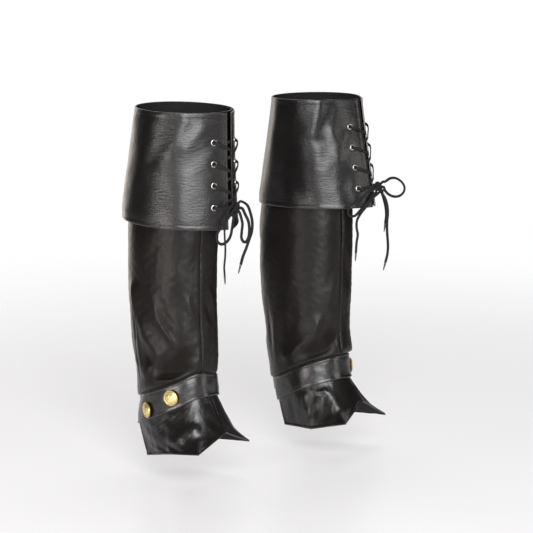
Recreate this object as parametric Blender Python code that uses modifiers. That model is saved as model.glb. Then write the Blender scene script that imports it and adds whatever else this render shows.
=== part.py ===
"""A pair of tall leather boot covers, laced at the cuff and strapped at the ankle.

Units are metres. The wearer faces -Y, their right side is -X and +Z is up. The
origin is on the right leg's axis in the top opening, where that leg holds its
cover. On each leg a place is given as forward, outward (away from the other leg)
and height above the ground; angles round a leg start at the front and grow
towards its outer side.
"""

import bisect
import math

import bmesh
import bpy
from mathutils import Matrix, Vector

HELD_HEIGHT = 0.550
WALL = 0.0015
GAP = 0.0003
SEAM_GAP = 0.0003

# Ankle strap
STRAP_WIDTH = 0.034
STRAP_WALL = 0.0017
STRAP_SEAT = 0.0005
BACK_END = 138

# Cuff and its front slit
SLIT_HALF = 0.005
KEEL_REACH = 0.050
CUFF_WALL = 0.0016
CUFF_ROWS = (0.0, 0.165, 0.350, 0.540, 0.725, 0.900, 1.0)

# Eyelets
EYELET_ANGLE = 18.25
EYELET_DROPS = (0.042, 0.073, 0.104, 0.136)
EYELET_BORE = 0.0026
EYELET_BARREL = 0.0031
EYELET_HOLE = 0.0035
EYELET_FLANGE = 0.0048
EYELET_SEAT = 0.0005
EYELET_UNDER = 0.0020
EYELET_SIDES = 10
HOLE_DEPTH = 0.012

# Lace
LACE_WIDTH = 0.0036
LACE_THICKNESS = 0.0018
LACE_SIDES = 6
LACE_STEP = 0.012
CORD_DIAMETER = 0.0036
CORD_STEP = 0.0085
TIP_LENGTH = 0.013
TIP_RADIUS = 0.0015
TIP_POINT_RADIUS = 0.0007
TIP_SIDES = 8
KNOT_SIZE = (0.0075, 0.0056, 0.0066)
KNOT_SEGMENTS = (10, 7)
KNOT_STANDOFF = 0.0072
KNOT_GAP = 0.0004
KNOT_RUN = 0.0040

# Buttons
BUTTON_RADIUS = 0.0118
BUTTON_SHANK = 0.0035
BUTTON_SIDES = 14
BUTTON_PROFILE = (
    (0.0, 0.0062),
    (0.0045, 0.0058),
    (0.0080, 0.0047),
    (0.0098, 0.0036),
    (0.0108, 0.0040),
    (BUTTON_RADIUS, 0.0034),
    (0.0114, 0.0024),
    (0.0060, 0.0019),
    (BUTTON_SHANK, 0.0014),
    (BUTTON_SHANK, 0.0),
    (0.0, 0.0),
)

# Buttons: angle on the strap, drop below its middle line, lean towards the back
BUTTON_PLACES = {
    "right": ((66, 0.0, 8), (108, 0.0060, 8)),
    "left": ((34, 0.0006, 0), (76, 0.0, 0)),
}

# Angles of the columns round a leg, and of those that only the cuff has in front
LEG_ANGLES = (0, 10, 20, 30, 40, 54, 68, 82, 96, 110, 124, 138, 152, 166, 180)
SEAM_ANGLE = 20
CUFF_ANGLES = (11.5, 25, 40, 54, 68, 82, 96, 110, 124, 138, 152, 166, 180)

# Rows of the shaft above the bagging: share of the way from the top
SHAFT_SHARES = (0.0, 0.10, 0.21, 0.32, 0.41, 0.46, 0.53, 0.61, 0.69, 0.77, 0.85, 0.93)

# The bag over the strap: height above the strap's top edge, push outwards
BAG_ROWS = (
    (0.046, 0.0012),
    (0.034, 0.0030),
    (0.023, 0.0052),
    (0.014, 0.0070),
    (0.0078, 0.0074),
    (0.0040, 0.0060),
    (0.0024, 0.0034),
    (0.0019, 0.0004),
)

# The shaft's bottom edge above the strap's middle line, and the spat's top edge below it
SHAFT_TUCK = 0.0006
SPAT_TUCK = 0.0004

# Rows of the spat below the strap: share of the way to its hem, and how far they sag
SPAT_SHARES = (0.30, 0.62, 0.88, 1.0)
SPAT_SAG = 0.0035

# Mean radius that turns a fold's angles into lengths
FOLD_RADIUS = 0.066

# How far the shaft's top edge stays below the cuff's rim
SHAFT_DROP = 0.004

# Columns of each leg's tables, whose spread widens the lacing's angles:
# shaft: height, outer half width, inner half width, front reach, back reach
# cuff: share of the way down, outer half, inner half, front reach, back reach, keel
# bag: angle, share of the full push
# band: angle, rise of the strap's middle line above its tilted plane, added half width
# hem: angle, forward, outward, height of the spat's lower edge
# folds: points (angle, height), push (outwards is +), half width
RIGHT = {
    "name": "right",
    "side": -1,
    "spot": (0.0, 0.0),
    "toe_out": 8,
    "shaft": (
        (0.555, 0.0716, 0.0674, 0.0963, 0.0434),
        (0.500, 0.0655, 0.0625, 0.0900, 0.0520),
        (0.440, 0.0590, 0.0570, 0.0830, 0.0625),
        (0.395, 0.0560, 0.0545, 0.0780, 0.0712),
        (0.370, 0.0570, 0.0535, 0.0765, 0.0732),
        (0.325, 0.0560, 0.0530, 0.0738, 0.0742),
        (0.270, 0.0550, 0.0530, 0.0730, 0.0735),
        (0.225, 0.0545, 0.0525, 0.0750, 0.0705),
        (0.195, 0.0525, 0.0515, 0.0740, 0.0675),
        (0.162, 0.0500, 0.0490, 0.0715, 0.0590),
        (0.130, 0.0475, 0.0480, 0.0740, 0.0550),
        (0.100, 0.0475, 0.0480, 0.0850, 0.0585),
        (0.070, 0.0490, 0.0490, 0.1000, 0.0640),
    ),
    "cuff": (
        (0.00, 0.0735, 0.0690, 0.0985, 0.0447, 0.0140),
        (0.45, 0.0755, 0.0760, 0.0995, 0.0590, 0.0135),
        (0.90, 0.0785, 0.0850, 0.1015, 0.0745, 0.0125),
        (1.00, 0.0775, 0.0880, 0.1015, 0.0747, 0.0125),
    ),
    "rim": (0.563, -0.04),
    "cuff_hem": (0.3955, -0.05),
    "spread": 1.0,
    "strap": (0.1205, 0.43),
    "band": ((-180, 0.0000, 0.0010), (-90, 0.0000, 0.0000), (-20, -0.0005, -0.0022),
             (0, 0.0012, -0.0018), (20, 0.0042, 0.0000), (35, 0.0046, 0.0000),
             (60, 0.0008, -0.0004), (90, 0.0000, 0.0010), (115, -0.0005, 0.0028),
             (138, -0.0012, 0.0030), (180, 0.0000, 0.0010)),
    "bag": ((0, 0.2), (30, 0.5), (60, 1.0), (100, 1.0), (138, 0.7), (180, 0.4),
            (222, 0.6), (260, 0.8), (300, 0.5), (335, 0.2), (360, 0.2)),
    "outer_hem": (
        (0, 0.1023, 0.0000, 0.0836),
        (40, 0.1010, 0.0630, 0.0630),
        (82, 0.0420, 0.0600, 0.0530),
        (138, -0.0150, 0.0450, 0.0380),
    ),
    "inner_hem": (
        (0, 0.1023, 0.0000, 0.0836),
        (40, 0.1023, 0.0560, 0.0580),
        (82, 0.0420, 0.0560, 0.0510),
        (138, -0.0150, 0.0440, 0.0400),
    ),
    "shallow_side": 1,
    "folds": (
        (((118, 0.290), (110, 0.255), (98, 0.225), (80, 0.200), (84, 0.185), (104, 0.170)), 0.0035, 0.011),
        (((44, 0.205), (56, 0.190), (72, 0.176)), -0.0060, 0.016),
        (((250, 0.300), (262, 0.250), (280, 0.215), (300, 0.195)), 0.0032, 0.012),
        (((236, 0.215), (250, 0.190), (268, 0.178)), -0.0040, 0.013),
        (((160, 0.345), (166, 0.280), (158, 0.220)), -0.0022, 0.011),
        (((196, 0.330), (202, 0.260), (196, 0.200)), 0.0020, 0.010),
    ),
}

LEFT = {
    "name": "left",
    "side": 1,
    "spot": (0.230, -0.098),
    "toe_out": 2,
    "shaft": (
        (0.555, 0.0715, 0.0712, 0.0815, 0.0466),
        (0.500, 0.0650, 0.0640, 0.0830, 0.0540),
        (0.440, 0.0580, 0.0555, 0.0810, 0.0630),
        (0.395, 0.0550, 0.0540, 0.0785, 0.0712),
        (0.365, 0.0540, 0.0535, 0.0795, 0.0742),
        (0.305, 0.0535, 0.0535, 0.0785, 0.0765),
        (0.256, 0.0530, 0.0530, 0.0776, 0.0732),
        (0.200, 0.0525, 0.0520, 0.0745, 0.0662),
        (0.159, 0.0500, 0.0500, 0.0735, 0.0610),
        (0.130, 0.0475, 0.0475, 0.0745, 0.0540),
        (0.100, 0.0475, 0.0475, 0.0860, 0.0500),
        (0.070, 0.0490, 0.0490, 0.1000, 0.0440),
    ),
    "cuff": (
        (0.00, 0.0735, 0.0735, 0.0830, 0.0478, 0.0135),
        (0.45, 0.0735, 0.0690, 0.0930, 0.0610, 0.0150),
        (0.90, 0.0735, 0.0630, 0.1040, 0.0747, 0.0162),
        (1.00, 0.0730, 0.0625, 0.1055, 0.0749, 0.0162),
    ),
    "rim": (0.5645, 0.0),
    "cuff_hem": (0.397, 0.01),
    "spread": 1.13,
    "strap": (0.1105, 0.41),
    "band": ((-180, 0.0000, 0.0000), (-138, 0.0019, -0.0008), (-110, 0.0055, -0.0016),
             (-85, 0.0080, -0.0020), (-60, 0.0077, -0.0012), (-30, 0.0052, -0.0003),
             (-10, 0.0030, 0.0008), (5, 0.0010, 0.0010), (30, 0.0000, 0.0005),
             (90, 0.0000, 0.0000), (180, 0.0000, 0.0000)),
    "bag": ((0, 0.8), (30, 0.8), (60, 0.9), (100, 0.9), (138, 0.6), (180, 0.4),
            (222, 0.5), (260, 0.8), (300, 1.0), (335, 0.9), (360, 0.8)),
    "outer_hem": (
        (0, 0.1036, 0.0000, 0.0880),
        (40, 0.1150, 0.0660, 0.0520),
        (82, 0.0500, 0.0600, 0.0500),
        (138, -0.0200, 0.0430, 0.0440),
    ),
    "inner_hem": (
        (0, 0.1036, 0.0000, 0.0880),
        (40, 0.1036, 0.0612, 0.0650),
        (82, 0.0420, 0.0570, 0.0480),
        (138, -0.0120, 0.0430, 0.0450),
    ),
    "shallow_side": -1,
    "folds": (
        (((304, 0.215), (300, 0.196), (284, 0.178), (262, 0.160)), 0.0035, 0.010),
        (((322, 0.192), (308, 0.180), (292, 0.168)), -0.0060, 0.016),
        (((118, 0.280), (108, 0.235), (92, 0.205)), 0.0032, 0.012),
        (((60, 0.205), (74, 0.190), (90, 0.178)), -0.0045, 0.014),
        (((168, 0.340), (160, 0.270), (166, 0.200)), 0.0020, 0.011),
        (((200, 0.330), (194, 0.250), (202, 0.190)), -0.0022, 0.011),
    ),
}

# Free lace ends: where each leaves the knot (outward, forward, up), the points that it
# goes through (forward, outward, height), and where a loop comes back into the knot
RIGHT_CORDS = {
    "tail_inner": (
        (-0.35, 0.60, 0.70),
        ((0.1320, -0.0130, 0.4260), (0.1335, -0.0190, 0.4130), (0.1335, -0.0230, 0.3995),
         (0.1325, -0.0230, 0.3860), (0.1300, -0.0200, 0.3740), (0.1275, -0.0165, 0.3620),
         (0.1250, -0.0120, 0.3500), (0.1235, -0.0085, 0.3380)),
        None,
    ),
    "loop_inner": (
        (-0.15, 0.55, -0.80),
        ((0.1275, -0.0040, 0.4100), (0.1285, -0.0065, 0.3990), (0.1280, -0.0055, 0.3880),
         (0.1275, -0.0055, 0.3780), (0.1285, -0.0095, 0.3720), (0.1300, -0.0138, 0.3725),
         (0.1320, -0.0164, 0.3790), (0.1330, -0.0168, 0.3900), (0.1330, -0.0145, 0.4020),
         (0.1300, -0.0105, 0.4130)),
        (-0.70, 0.60, -0.35),
    ),
    "tail_outer": (
        (0.80, 0.35, 0.50),
        ((0.1260, 0.0190, 0.4240), (0.1250, 0.0255, 0.4110), (0.1245, 0.0290, 0.3980),
         (0.1240, 0.0285, 0.3840), (0.1235, 0.0265, 0.3690), (0.1230, 0.0265, 0.3540),
         (0.1225, 0.0280, 0.3400), (0.1220, 0.0265, 0.3270)),
        None,
    ),
    "loop_outer": (
        (0.45, 0.60, -0.65),
        ((0.1270, 0.0120, 0.4080), (0.1285, 0.0170, 0.3960), (0.1290, 0.0215, 0.3850),
         (0.1290, 0.0290, 0.3780), (0.1275, 0.0390, 0.3750), (0.1260, 0.0470, 0.3800),
         (0.1255, 0.0470, 0.3900), (0.1270, 0.0400, 0.3995), (0.1290, 0.0300, 0.4085),
         (0.1290, 0.0190, 0.4170)),
        (0.75, 0.65, -0.05),
    ),
}

LEFT_CORDS = {
    "loop_outer": (
        (0.70, 0.45, 0.55),
        ((0.1330, 0.0110, 0.4370), (0.1400, 0.0130, 0.4420), (0.1490, 0.0130, 0.4430),
         (0.1580, 0.0125, 0.4390), (0.1640, 0.0120, 0.4320), (0.1640, 0.0120, 0.4240),
         (0.1580, 0.0120, 0.4170), (0.1490, 0.0115, 0.4145), (0.1400, 0.0105, 0.4170),
         (0.1335, 0.0085, 0.4235)),
        (0.70, 0.65, -0.20),
    ),
    "tail_outer": (
        (0.35, 0.60, -0.70),
        ((0.1310, 0.0045, 0.4190), (0.1355, 0.0060, 0.4110), (0.1390, 0.0060, 0.4000),
         (0.1400, 0.0060, 0.3880), (0.1390, 0.0060, 0.3760), (0.1390, 0.0060, 0.3640),
         (0.1400, 0.0060, 0.3510), (0.1410, 0.0060, 0.3370), (0.1400, 0.0060, 0.3240),
         (0.1370, 0.0060, 0.3120)),
        None,
    ),
    "tail_short": (
        (0.75, 0.10, -0.65),
        ((0.1270, 0.0120, 0.4180), (0.1290, 0.0160, 0.4070), (0.1310, 0.0180, 0.3950),
         (0.1320, 0.0180, 0.3830), (0.1310, 0.0170, 0.3710)),
        None,
    ),
    "loop_inner": (
        (-0.80, 0.50, -0.10),
        ((0.1210, -0.0230, 0.4250), (0.1160, -0.0340, 0.4180), (0.1090, -0.0430, 0.4110),
         (0.1025, -0.0500, 0.4050), (0.1005, -0.0530, 0.3970), (0.1030, -0.0515, 0.3900),
         (0.1090, -0.0460, 0.3900), (0.1145, -0.0380, 0.3980), (0.1200, -0.0280, 0.4070),
         (0.1250, -0.0160, 0.4150)),
        (-0.45, 0.60, -0.60),
    ),
    "tail_inner": (
        (-0.60, 0.00, -0.80),
        ((0.1190, -0.0110, 0.4130), (0.1150, -0.0190, 0.4010), (0.1100, -0.0280, 0.3910),
         (0.1070, -0.0345, 0.3810), (0.1065, -0.0350, 0.3700), (0.1085, -0.0350, 0.3590),
         (0.1070, -0.0355, 0.3470), (0.1060, -0.0355, 0.3310)),
        None,
    ),
}

# One crossing of the lace, from its own eyelet out, over and under to the opposite one:
# angle (own side is +), share of the drop on the steep side and on the shallow side,
# stand-off from the cuff's outer face
CROSSING = (
    (18.25, 0.00, 0.00, -0.0006),
    (18.25, 0.00, 0.00, 0.0016),
    (17.6, 0.03, 0.02, 0.0037),
    (15.6, 0.10, 0.05, 0.0052),
    (12.6, 0.24, 0.10, 0.0048),
    (9.2, 0.40, 0.17, 0.0032),
    (6.2, 0.53, 0.24, 0.0021),
    (3.6, 0.60, 0.29, 0.0017),
    (0.0, 0.68, 0.37, -0.0006),
    (-3.6, 0.76, 0.45, -0.0031),
    (-7.0, 0.83, 0.57, -0.0034),
    (-11.5, 0.91, 0.76, -0.0035),
    (-15.6, 0.98, 0.95, -0.0046),
    (-18.1, 1.00, 1.00, -0.0029),
)

# The lace's start behind the slit, up to its first eyelet, and its end at the knot
BAR = ((1.4, -0.0034), (5.5, -0.0036), (11.5, -0.0037), (15.6, -0.0046), (18.1, -0.0029))
LAST = (
    (18.25, 0.0000, -0.0006),
    (18.25, 0.0000, 0.0016),
    (17.5, 0.0004, 0.0037),
    (15.4, 0.0008, 0.0050),
    (12.0, 0.0006, 0.0048),
    (9.0, 0.0000, 0.0046),
)
KNOT_DROP = -0.002
LACE_LEAVES = (0.85, -0.40, 0.0)

COLOURS = {
    "shaft_leather": ((0.020, 0.019, 0.020), 0.46, 0.0),
    "cuff_leather": ((0.024, 0.023, 0.024), 0.36, 0.0),
    "strap_leather": ((0.022, 0.021, 0.022), 0.30, 0.0),
    "button_gold": ((0.78, 0.50, 0.16), 0.34, 1.0),
    "eyelet_metal": ((0.62, 0.57, 0.50), 0.32, 1.0),
    "lace_cord": ((0.012, 0.012, 0.012), 0.75, 0.0),
    "lace_tip": ((0.015, 0.015, 0.015), 0.30, 0.0),
}


def clear_scene():
    for item in list(bpy.data.objects):
        bpy.data.objects.remove(item, do_unlink=True)


def new_collection(name):
    collection = bpy.data.collections.new(name)
    bpy.context.scene.collection.children.link(collection)
    return collection


def make_material(name, kind):
    colour, roughness, metallic = COLOURS[kind]
    material = bpy.data.materials.new(name)
    material.use_nodes = True
    shader = material.node_tree.nodes["Principled BSDF"]
    shader.inputs["Base Color"].default_value = (*colour, 1.0)
    shader.inputs["Roughness"].default_value = roughness
    shader.inputs["Metallic"].default_value = metallic
    return material


def add_object(name, mesh, kind, collection, smooth=True):
    item = bpy.data.objects.new(name, mesh)
    collection.objects.link(item)
    mesh.materials.append(make_material(name, kind))
    if smooth:
        mesh.shade_smooth()
        mesh.set_sharp_from_angle(angle=math.radians(40))
    return item


def lerp(a, b, share):
    return a + (b - a) * share


def table_at(rows, where, smooth=True):
    """Other columns of a table at a value of its first column, which may rise or fall."""
    if rows[0][0] > rows[-1][0]:
        rows = rows[::-1]
    keys = [row[0] for row in rows]
    if where <= keys[0]:
        return rows[0][1:]
    if where >= keys[-1]:
        return rows[-1][1:]
    at = bisect.bisect_right(keys, where) - 1
    span = keys[at + 1] - keys[at]
    share = (where - keys[at]) / span
    result = []
    for column in range(1, len(rows[0])):
        low, high = rows[at][column], rows[at + 1][column]
        if not smooth:
            result.append(lerp(low, high, share))
            continue
        before = rows[max(at - 1, 0)]
        after = rows[min(at + 2, len(rows) - 1)]
        slope_low = (high - before[column]) / (keys[at + 1] - before[0]) * span
        slope_high = (after[column] - low) / (after[0] - keys[at]) * span
        s2, s3 = share ** 2, share ** 3
        result.append((2 * s3 - 3 * s2 + 1) * low + (s3 - 2 * s2 + share) * slope_low
                      + (3 * s2 - 2 * s3) * high + (s3 - s2) * slope_high)
    return result


def oval(half_outer, half_inner, front, back, angle):
    """Forward and outward place of an angle on an egg-shaped section."""
    turn = math.radians(angle)
    half = half_outer if math.sin(turn) >= 0 else half_inner
    centre = (front - back) / 2
    depth = (front + back) / 2
    return centre + depth * math.cos(turn), half * math.sin(turn)


def to_world(leg, forward, outward, height):
    """World point of a place on a leg."""
    turn = math.radians(leg["toe_out"])
    side = leg["side"]
    x = leg["spot"][0] + side * (forward * math.sin(turn) + outward * math.cos(turn))
    y = leg["spot"][1] - forward * math.cos(turn) + outward * math.sin(turn)
    return Vector((x, y, height - HELD_HEIGHT))


def fold_push(leg, angle, height):
    """Push outwards of all the folds at a place on the shaft."""
    total = 0.0
    metres_per_degree = math.radians(FOLD_RADIUS)
    for path, push, half_width in leg["folds"]:
        nearest = 1.0
        for (a0, h0), (a1, h1) in zip(path, path[1:]):
            x0 = ((angle - a0 + 180) % 360 - 180) * metres_per_degree
            y0 = height - h0
            dx = (a1 - a0) * metres_per_degree
            dy = h1 - h0
            along = max(0.0, min(1.0, (x0 * dx + y0 * dy) / (dx * dx + dy * dy)))
            nearest = min(nearest, math.hypot(x0 - along * dx, y0 - along * dy))
        total += push * math.exp(-(nearest / half_width) ** 2)
    return total


def shaft_place(leg, angle, height, push=0.0):
    """Forward, outward and height of the leg's form, moved out along its normal."""
    row = table_at(leg["shaft"], height)
    forward, outward = oval(*row, angle)
    ahead = oval(*row, angle + 0.5)
    behind = oval(*row, angle - 0.5)
    run_f, run_o = ahead[0] - behind[0], ahead[1] - behind[1]
    size = math.hypot(run_f, run_o)
    return forward + push * run_o / size, outward - push * run_f / size, height


def strap_band(leg, angle):
    """Rise of the strap's middle line, and added half width, at an angle."""
    return table_at(leg["band"], (angle + 180) % 360 - 180)


def strap_height(leg, angle):
    """Height of the strap's middle line at an angle, on its tilted plane but for its rise."""
    middle, slope = leg["strap"]
    lift = strap_band(leg, angle)[0]
    height = middle
    for _ in range(6):
        forward = shaft_place(leg, angle, height)[0]
        height = middle + lift + slope * forward
    return height


def strap_edge(leg, angle):
    """Height of the strap's edges above and below its middle line at an angle."""
    return STRAP_WIDTH / 2 / math.cos(math.atan(leg["strap"][1])) + strap_band(leg, angle)[1]


def cuff_place(leg, angle, share, push=0.0):
    """Forward, outward and height on the cuff's outer face, moved out by push."""
    outer, inner, front, back, keel = table_at(leg["cuff"], share, smooth=False)

    def flat(turn):
        forward, outward = oval(outer, inner, front, back, turn)
        if math.cos(math.radians(turn)) > 0:
            forward += keel * max(0.0, 1 - abs(outward) / KEEL_REACH) ** 1.5
        return forward, outward

    forward, outward = flat(angle)
    ahead, behind = flat(angle + 0.5), flat(angle - 0.5)
    run_f, run_o = ahead[0] - behind[0], ahead[1] - behind[1]
    size = math.hypot(run_f, run_o)
    rim_middle, rim_slope = leg["rim"]
    hem_middle, hem_slope = leg["cuff_hem"]
    top = rim_middle + rim_slope * forward
    bottom = hem_middle + hem_slope * forward
    return forward + push * run_o / size, outward - push * run_f / size, lerp(top, bottom, share)


def cuff_share(leg, drop):
    """Share of the way down the cuff's front for a drop below its rim."""
    top = cuff_place(leg, 0, 0.0)[2]
    bottom = cuff_place(leg, 0, 1.0)[2]
    return drop / (top - bottom)


def grid_normals(grid, closed):
    """Outward unit normal at each point of a grid of rows from top to bottom."""
    rows, columns = len(grid), len(grid[0])
    normals = []
    for r in range(rows):
        line = []
        for c in range(columns):
            up, down = grid[max(r - 1, 0)][c], grid[min(r + 1, rows - 1)][c]
            if closed:
                left, right = grid[r][(c - 1) % columns], grid[r][(c + 1) % columns]
            else:
                left, right = grid[r][max(c - 1, 0)], grid[r][min(c + 1, columns - 1)]
            line.append((right - left).cross(up - down).normalized())
        normals.append(line)
    return normals


def offset_grid(grid, normals, distance):
    return [[p + n * distance for p, n in zip(line, line_n)] for line, line_n in zip(grid, normals)]


def take_columns(grid, first, last):
    """Columns of a closed grid from first to last, pulled in by half the seam gap."""
    piece = []
    for line in grid:
        points = [line[c % len(line)].copy() for c in range(first, last + 1)]
        points[0] += (points[1] - points[0]).normalized() * SEAM_GAP / 2
        points[-1] += (points[-2] - points[-1]).normalized() * SEAM_GAP / 2
        piece.append(points)
    return piece


def wall_mesh(name, outer, inner, mirrored):
    """One closed wall between an outer and an inner grid of rows."""
    rows, columns = len(outer), len(outer[0])
    shape = bmesh.new()
    out = [[shape.verts.new(p) for p in line] for line in outer]
    inn = [[shape.verts.new(p) for p in line] for line in inner]
    for r in range(rows - 1):
        for c in range(columns - 1):
            shape.faces.new((out[r][c], out[r + 1][c], out[r + 1][c + 1], out[r][c + 1]))
            shape.faces.new((inn[r][c], inn[r][c + 1], inn[r + 1][c + 1], inn[r + 1][c]))
        shape.faces.new((out[r][0], inn[r][0], inn[r + 1][0], out[r + 1][0]))
        shape.faces.new((out[r][-1], out[r + 1][-1], inn[r + 1][-1], inn[r][-1]))
    for c in range(columns - 1):
        shape.faces.new((out[0][c], out[0][c + 1], inn[0][c + 1], inn[0][c]))
        shape.faces.new((out[-1][c], inn[-1][c], inn[-1][c + 1], out[-1][c + 1]))
    if mirrored:
        bmesh.ops.reverse_faces(shape, faces=shape.faces)
    mesh = bpy.data.meshes.new(name)
    shape.to_mesh(mesh)
    shape.free()
    return mesh


def ring_angles(half):
    """Angles all the way round, from 0 up to just under 360."""
    back = [360 - a for a in half[::-1] if 0 < a < 180]
    return list(half) + back


def normal_sign(leg):
    """A grid runs from the front to the outer side, so its turn differs between the legs."""
    return leg["side"]


def build_shaft(leg, collection):
    """Narrow front strip and two side panels of the leg tube, seamed down the back."""
    angles = ring_angles(LEG_ANGLES)
    top_height = leg["rim"][0] - SHAFT_DROP
    grid = []
    for share in SHAFT_SHARES:
        line = []
        for angle in angles:
            bottom = strap_height(leg, angle) + strap_edge(leg, angle) + BAG_ROWS[0][0]
            height = lerp(top_height, bottom, share)
            place = shaft_place(leg, angle, height, fold_push(leg, angle, height))
            line.append(to_world(leg, *place))
        grid.append(line)
    for lift, push in BAG_ROWS:
        line = []
        for angle in angles:
            height = strap_height(leg, angle) + strap_edge(leg, angle) + lift
            size = table_at(leg["bag"], angle)[0]
            fade = min(1.0, push / BAG_ROWS[1][1]) if lift < BAG_ROWS[4][0] else 1.0
            folds = fold_push(leg, angle, height) * fade
            place = shaft_place(leg, angle, height, max(push * size + folds, 0.0))
            line.append(to_world(leg, *place))
        grid.append(line)
    for share, lift in ((1, 0.0), (0, SHAFT_TUCK)):
        grid.append([to_world(leg, *shaft_place(leg, a, strap_height(leg, a) + share * strap_edge(leg, a) + lift))
                     for a in angles])

    normals = [[n * normal_sign(leg) for n in line] for line in grid_normals(grid, closed=True)]
    inner = offset_grid(grid, normals, -WALL)
    seam = LEG_ANGLES.index(SEAM_ANGLE)
    back = LEG_ANGLES.index(180)
    mirrored = leg["side"] < 0
    for part, first, last in (
        ("shaft_front", -seam, seam),
        ("shaft_outer", seam, back),
        ("shaft_inner", back, len(angles) - seam),
    ):
        name = leg["name"] + "_" + part
        mesh = wall_mesh(name, take_columns(grid, first, last), take_columns(inner, first, last), mirrored)
        add_object(name, mesh, "shaft_leather", collection)


def hem_place(leg, table, sign, angle):
    forward, outward, height = table_at(leg[table], angle, smooth=False)
    return to_world(leg, forward, sign * outward, height)


def build_spat(leg, collection):
    """Outer and inner halves of the instep cover, meeting on the front seam."""
    half = [a for a in LEG_ANGLES if a <= BACK_END]
    angles = [-a for a in half[:0:-1]] + half
    grid = [[to_world(leg, *shaft_place(leg, a, strap_height(leg, a) - SPAT_TUCK)) for a in angles],
            [to_world(leg, *shaft_place(leg, a, strap_height(leg, a) - strap_edge(leg, a))) for a in angles]]
    upper = grid[1]
    for share in SPAT_SHARES:
        line = []
        for column, angle in enumerate(angles):
            table = "outer_hem" if angle >= 0 else "inner_hem"
            hem = hem_place(leg, table, 1 if angle >= 0 else -1, abs(angle))
            point = upper[column].lerp(hem, share)
            point.z -= SPAT_SAG * 4 * share * (1 - share) * math.cos(math.radians(angle) / 2)
            line.append(point)
        grid.append(line)
    normals = [[n * normal_sign(leg) for n in line] for line in grid_normals(grid, closed=False)]
    inner = offset_grid(grid, normals, -WALL)
    middle = len(angles) // 2
    mirrored = leg["side"] < 0
    for part, first, last in (("spat_inner", 0, middle), ("spat_outer", middle, len(angles) - 1)):
        name = leg["name"] + "_" + part
        mesh = wall_mesh(name, take_columns(grid, first, last), take_columns(inner, first, last), mirrored)
        add_object(name, mesh, "strap_leather", collection)


def strap_grids(leg):
    """Outer and inner face of the ankle strap, over the shaft's and the spat's edges."""
    half = [a for a in LEG_ANGLES if a <= BACK_END]
    angles = [-a for a in half[:0:-1]] + half
    base = [[to_world(leg, *shaft_place(leg, a, strap_height(leg, a) + share * strap_edge(leg, a))) for a in angles]
            for share in (1, 0, -1)]
    normals = [[n * normal_sign(leg) for n in line] for line in grid_normals(base, closed=False)]
    return offset_grid(base, normals, STRAP_SEAT + STRAP_WALL), offset_grid(base, normals, STRAP_SEAT)


def build_strap(leg, collection):
    outer, inner = strap_grids(leg)
    name = leg["name"] + "_strap"
    add_object(name, wall_mesh(name, outer, inner, leg["side"] < 0), "strap_leather", collection)


def turned_object(name, profile, sides, spot, axis, kind, collection):
    """Turned piece from (radius, height) pairs, its height along the given axis."""
    line = bpy.data.meshes.new(name)
    points = [(radius, 0.0, height) for radius, height in profile]
    edges = [(i, i + 1) for i in range(len(points) - 1)]
    if profile[0][0] > 0:
        edges.append((len(points) - 1, 0))
    line.from_pydata(points, edges, [])
    item = add_object(name, line, kind, collection, smooth=False)
    turn = item.modifiers.new("Turn", "SCREW")
    turn.angle = math.tau
    turn.steps = sides
    turn.render_steps = sides
    turn.use_merge_vertices = True
    turn.merge_threshold = 0.00005
    turn.use_smooth_shade = True
    item.rotation_mode = "QUATERNION"
    item.rotation_quaternion = axis.to_track_quat("Z", "Y")
    item.location = spot
    return item


def build_buttons(leg, collection):
    """Two domed shank buttons on the outer end of the strap."""
    for number, (angle, drop, lean) in enumerate(BUTTON_PLACES[leg["name"]], start=1):
        height = strap_height(leg, angle) - drop
        stand = STRAP_SEAT + STRAP_WALL + 2 * GAP
        spot = to_world(leg, *shaft_place(leg, angle, height, stand))
        axis = to_world(leg, *shaft_place(leg, angle, height, stand + 0.01)) - spot
        axis.rotate(Matrix.Rotation(leg["side"] * math.radians(lean), 3, "Z"))
        name = leg["name"] + "_button_" + str(number)
        turned_object(name, BUTTON_PROFILE, BUTTON_SIDES, spot, axis, "button_gold", collection)


def cuff_frame(leg, angle, drop):
    """Point on the cuff's facets, and its outward direction, at an angle and a drop."""
    share = cuff_share(leg, drop)
    side = 1 if angle >= 0 else -1
    low, high = CUFF_ANGLES[0], CUFF_ANGLES[1]
    below = max(s for s in CUFF_ROWS if s <= share)
    above = min(s for s in CUFF_ROWS if s > share)
    corners = [to_world(leg, *cuff_place(leg, side * a, s)) for a, s in
               ((low, below), (high, below), (high, above), (low, above))]
    across = (abs(angle) - low) / (high - low)
    down = (share - below) / (above - below)
    spot = corners[0].lerp(corners[1], across).lerp(corners[3].lerp(corners[2], across), down)
    normal = (corners[2] - corners[0]).cross(corners[1] - corners[3]).normalized()
    if normal.dot(spot - to_world(leg, 0.0, 0.0, spot.z + HELD_HEIGHT)) < 0:
        normal.negate()
    return spot, normal


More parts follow.
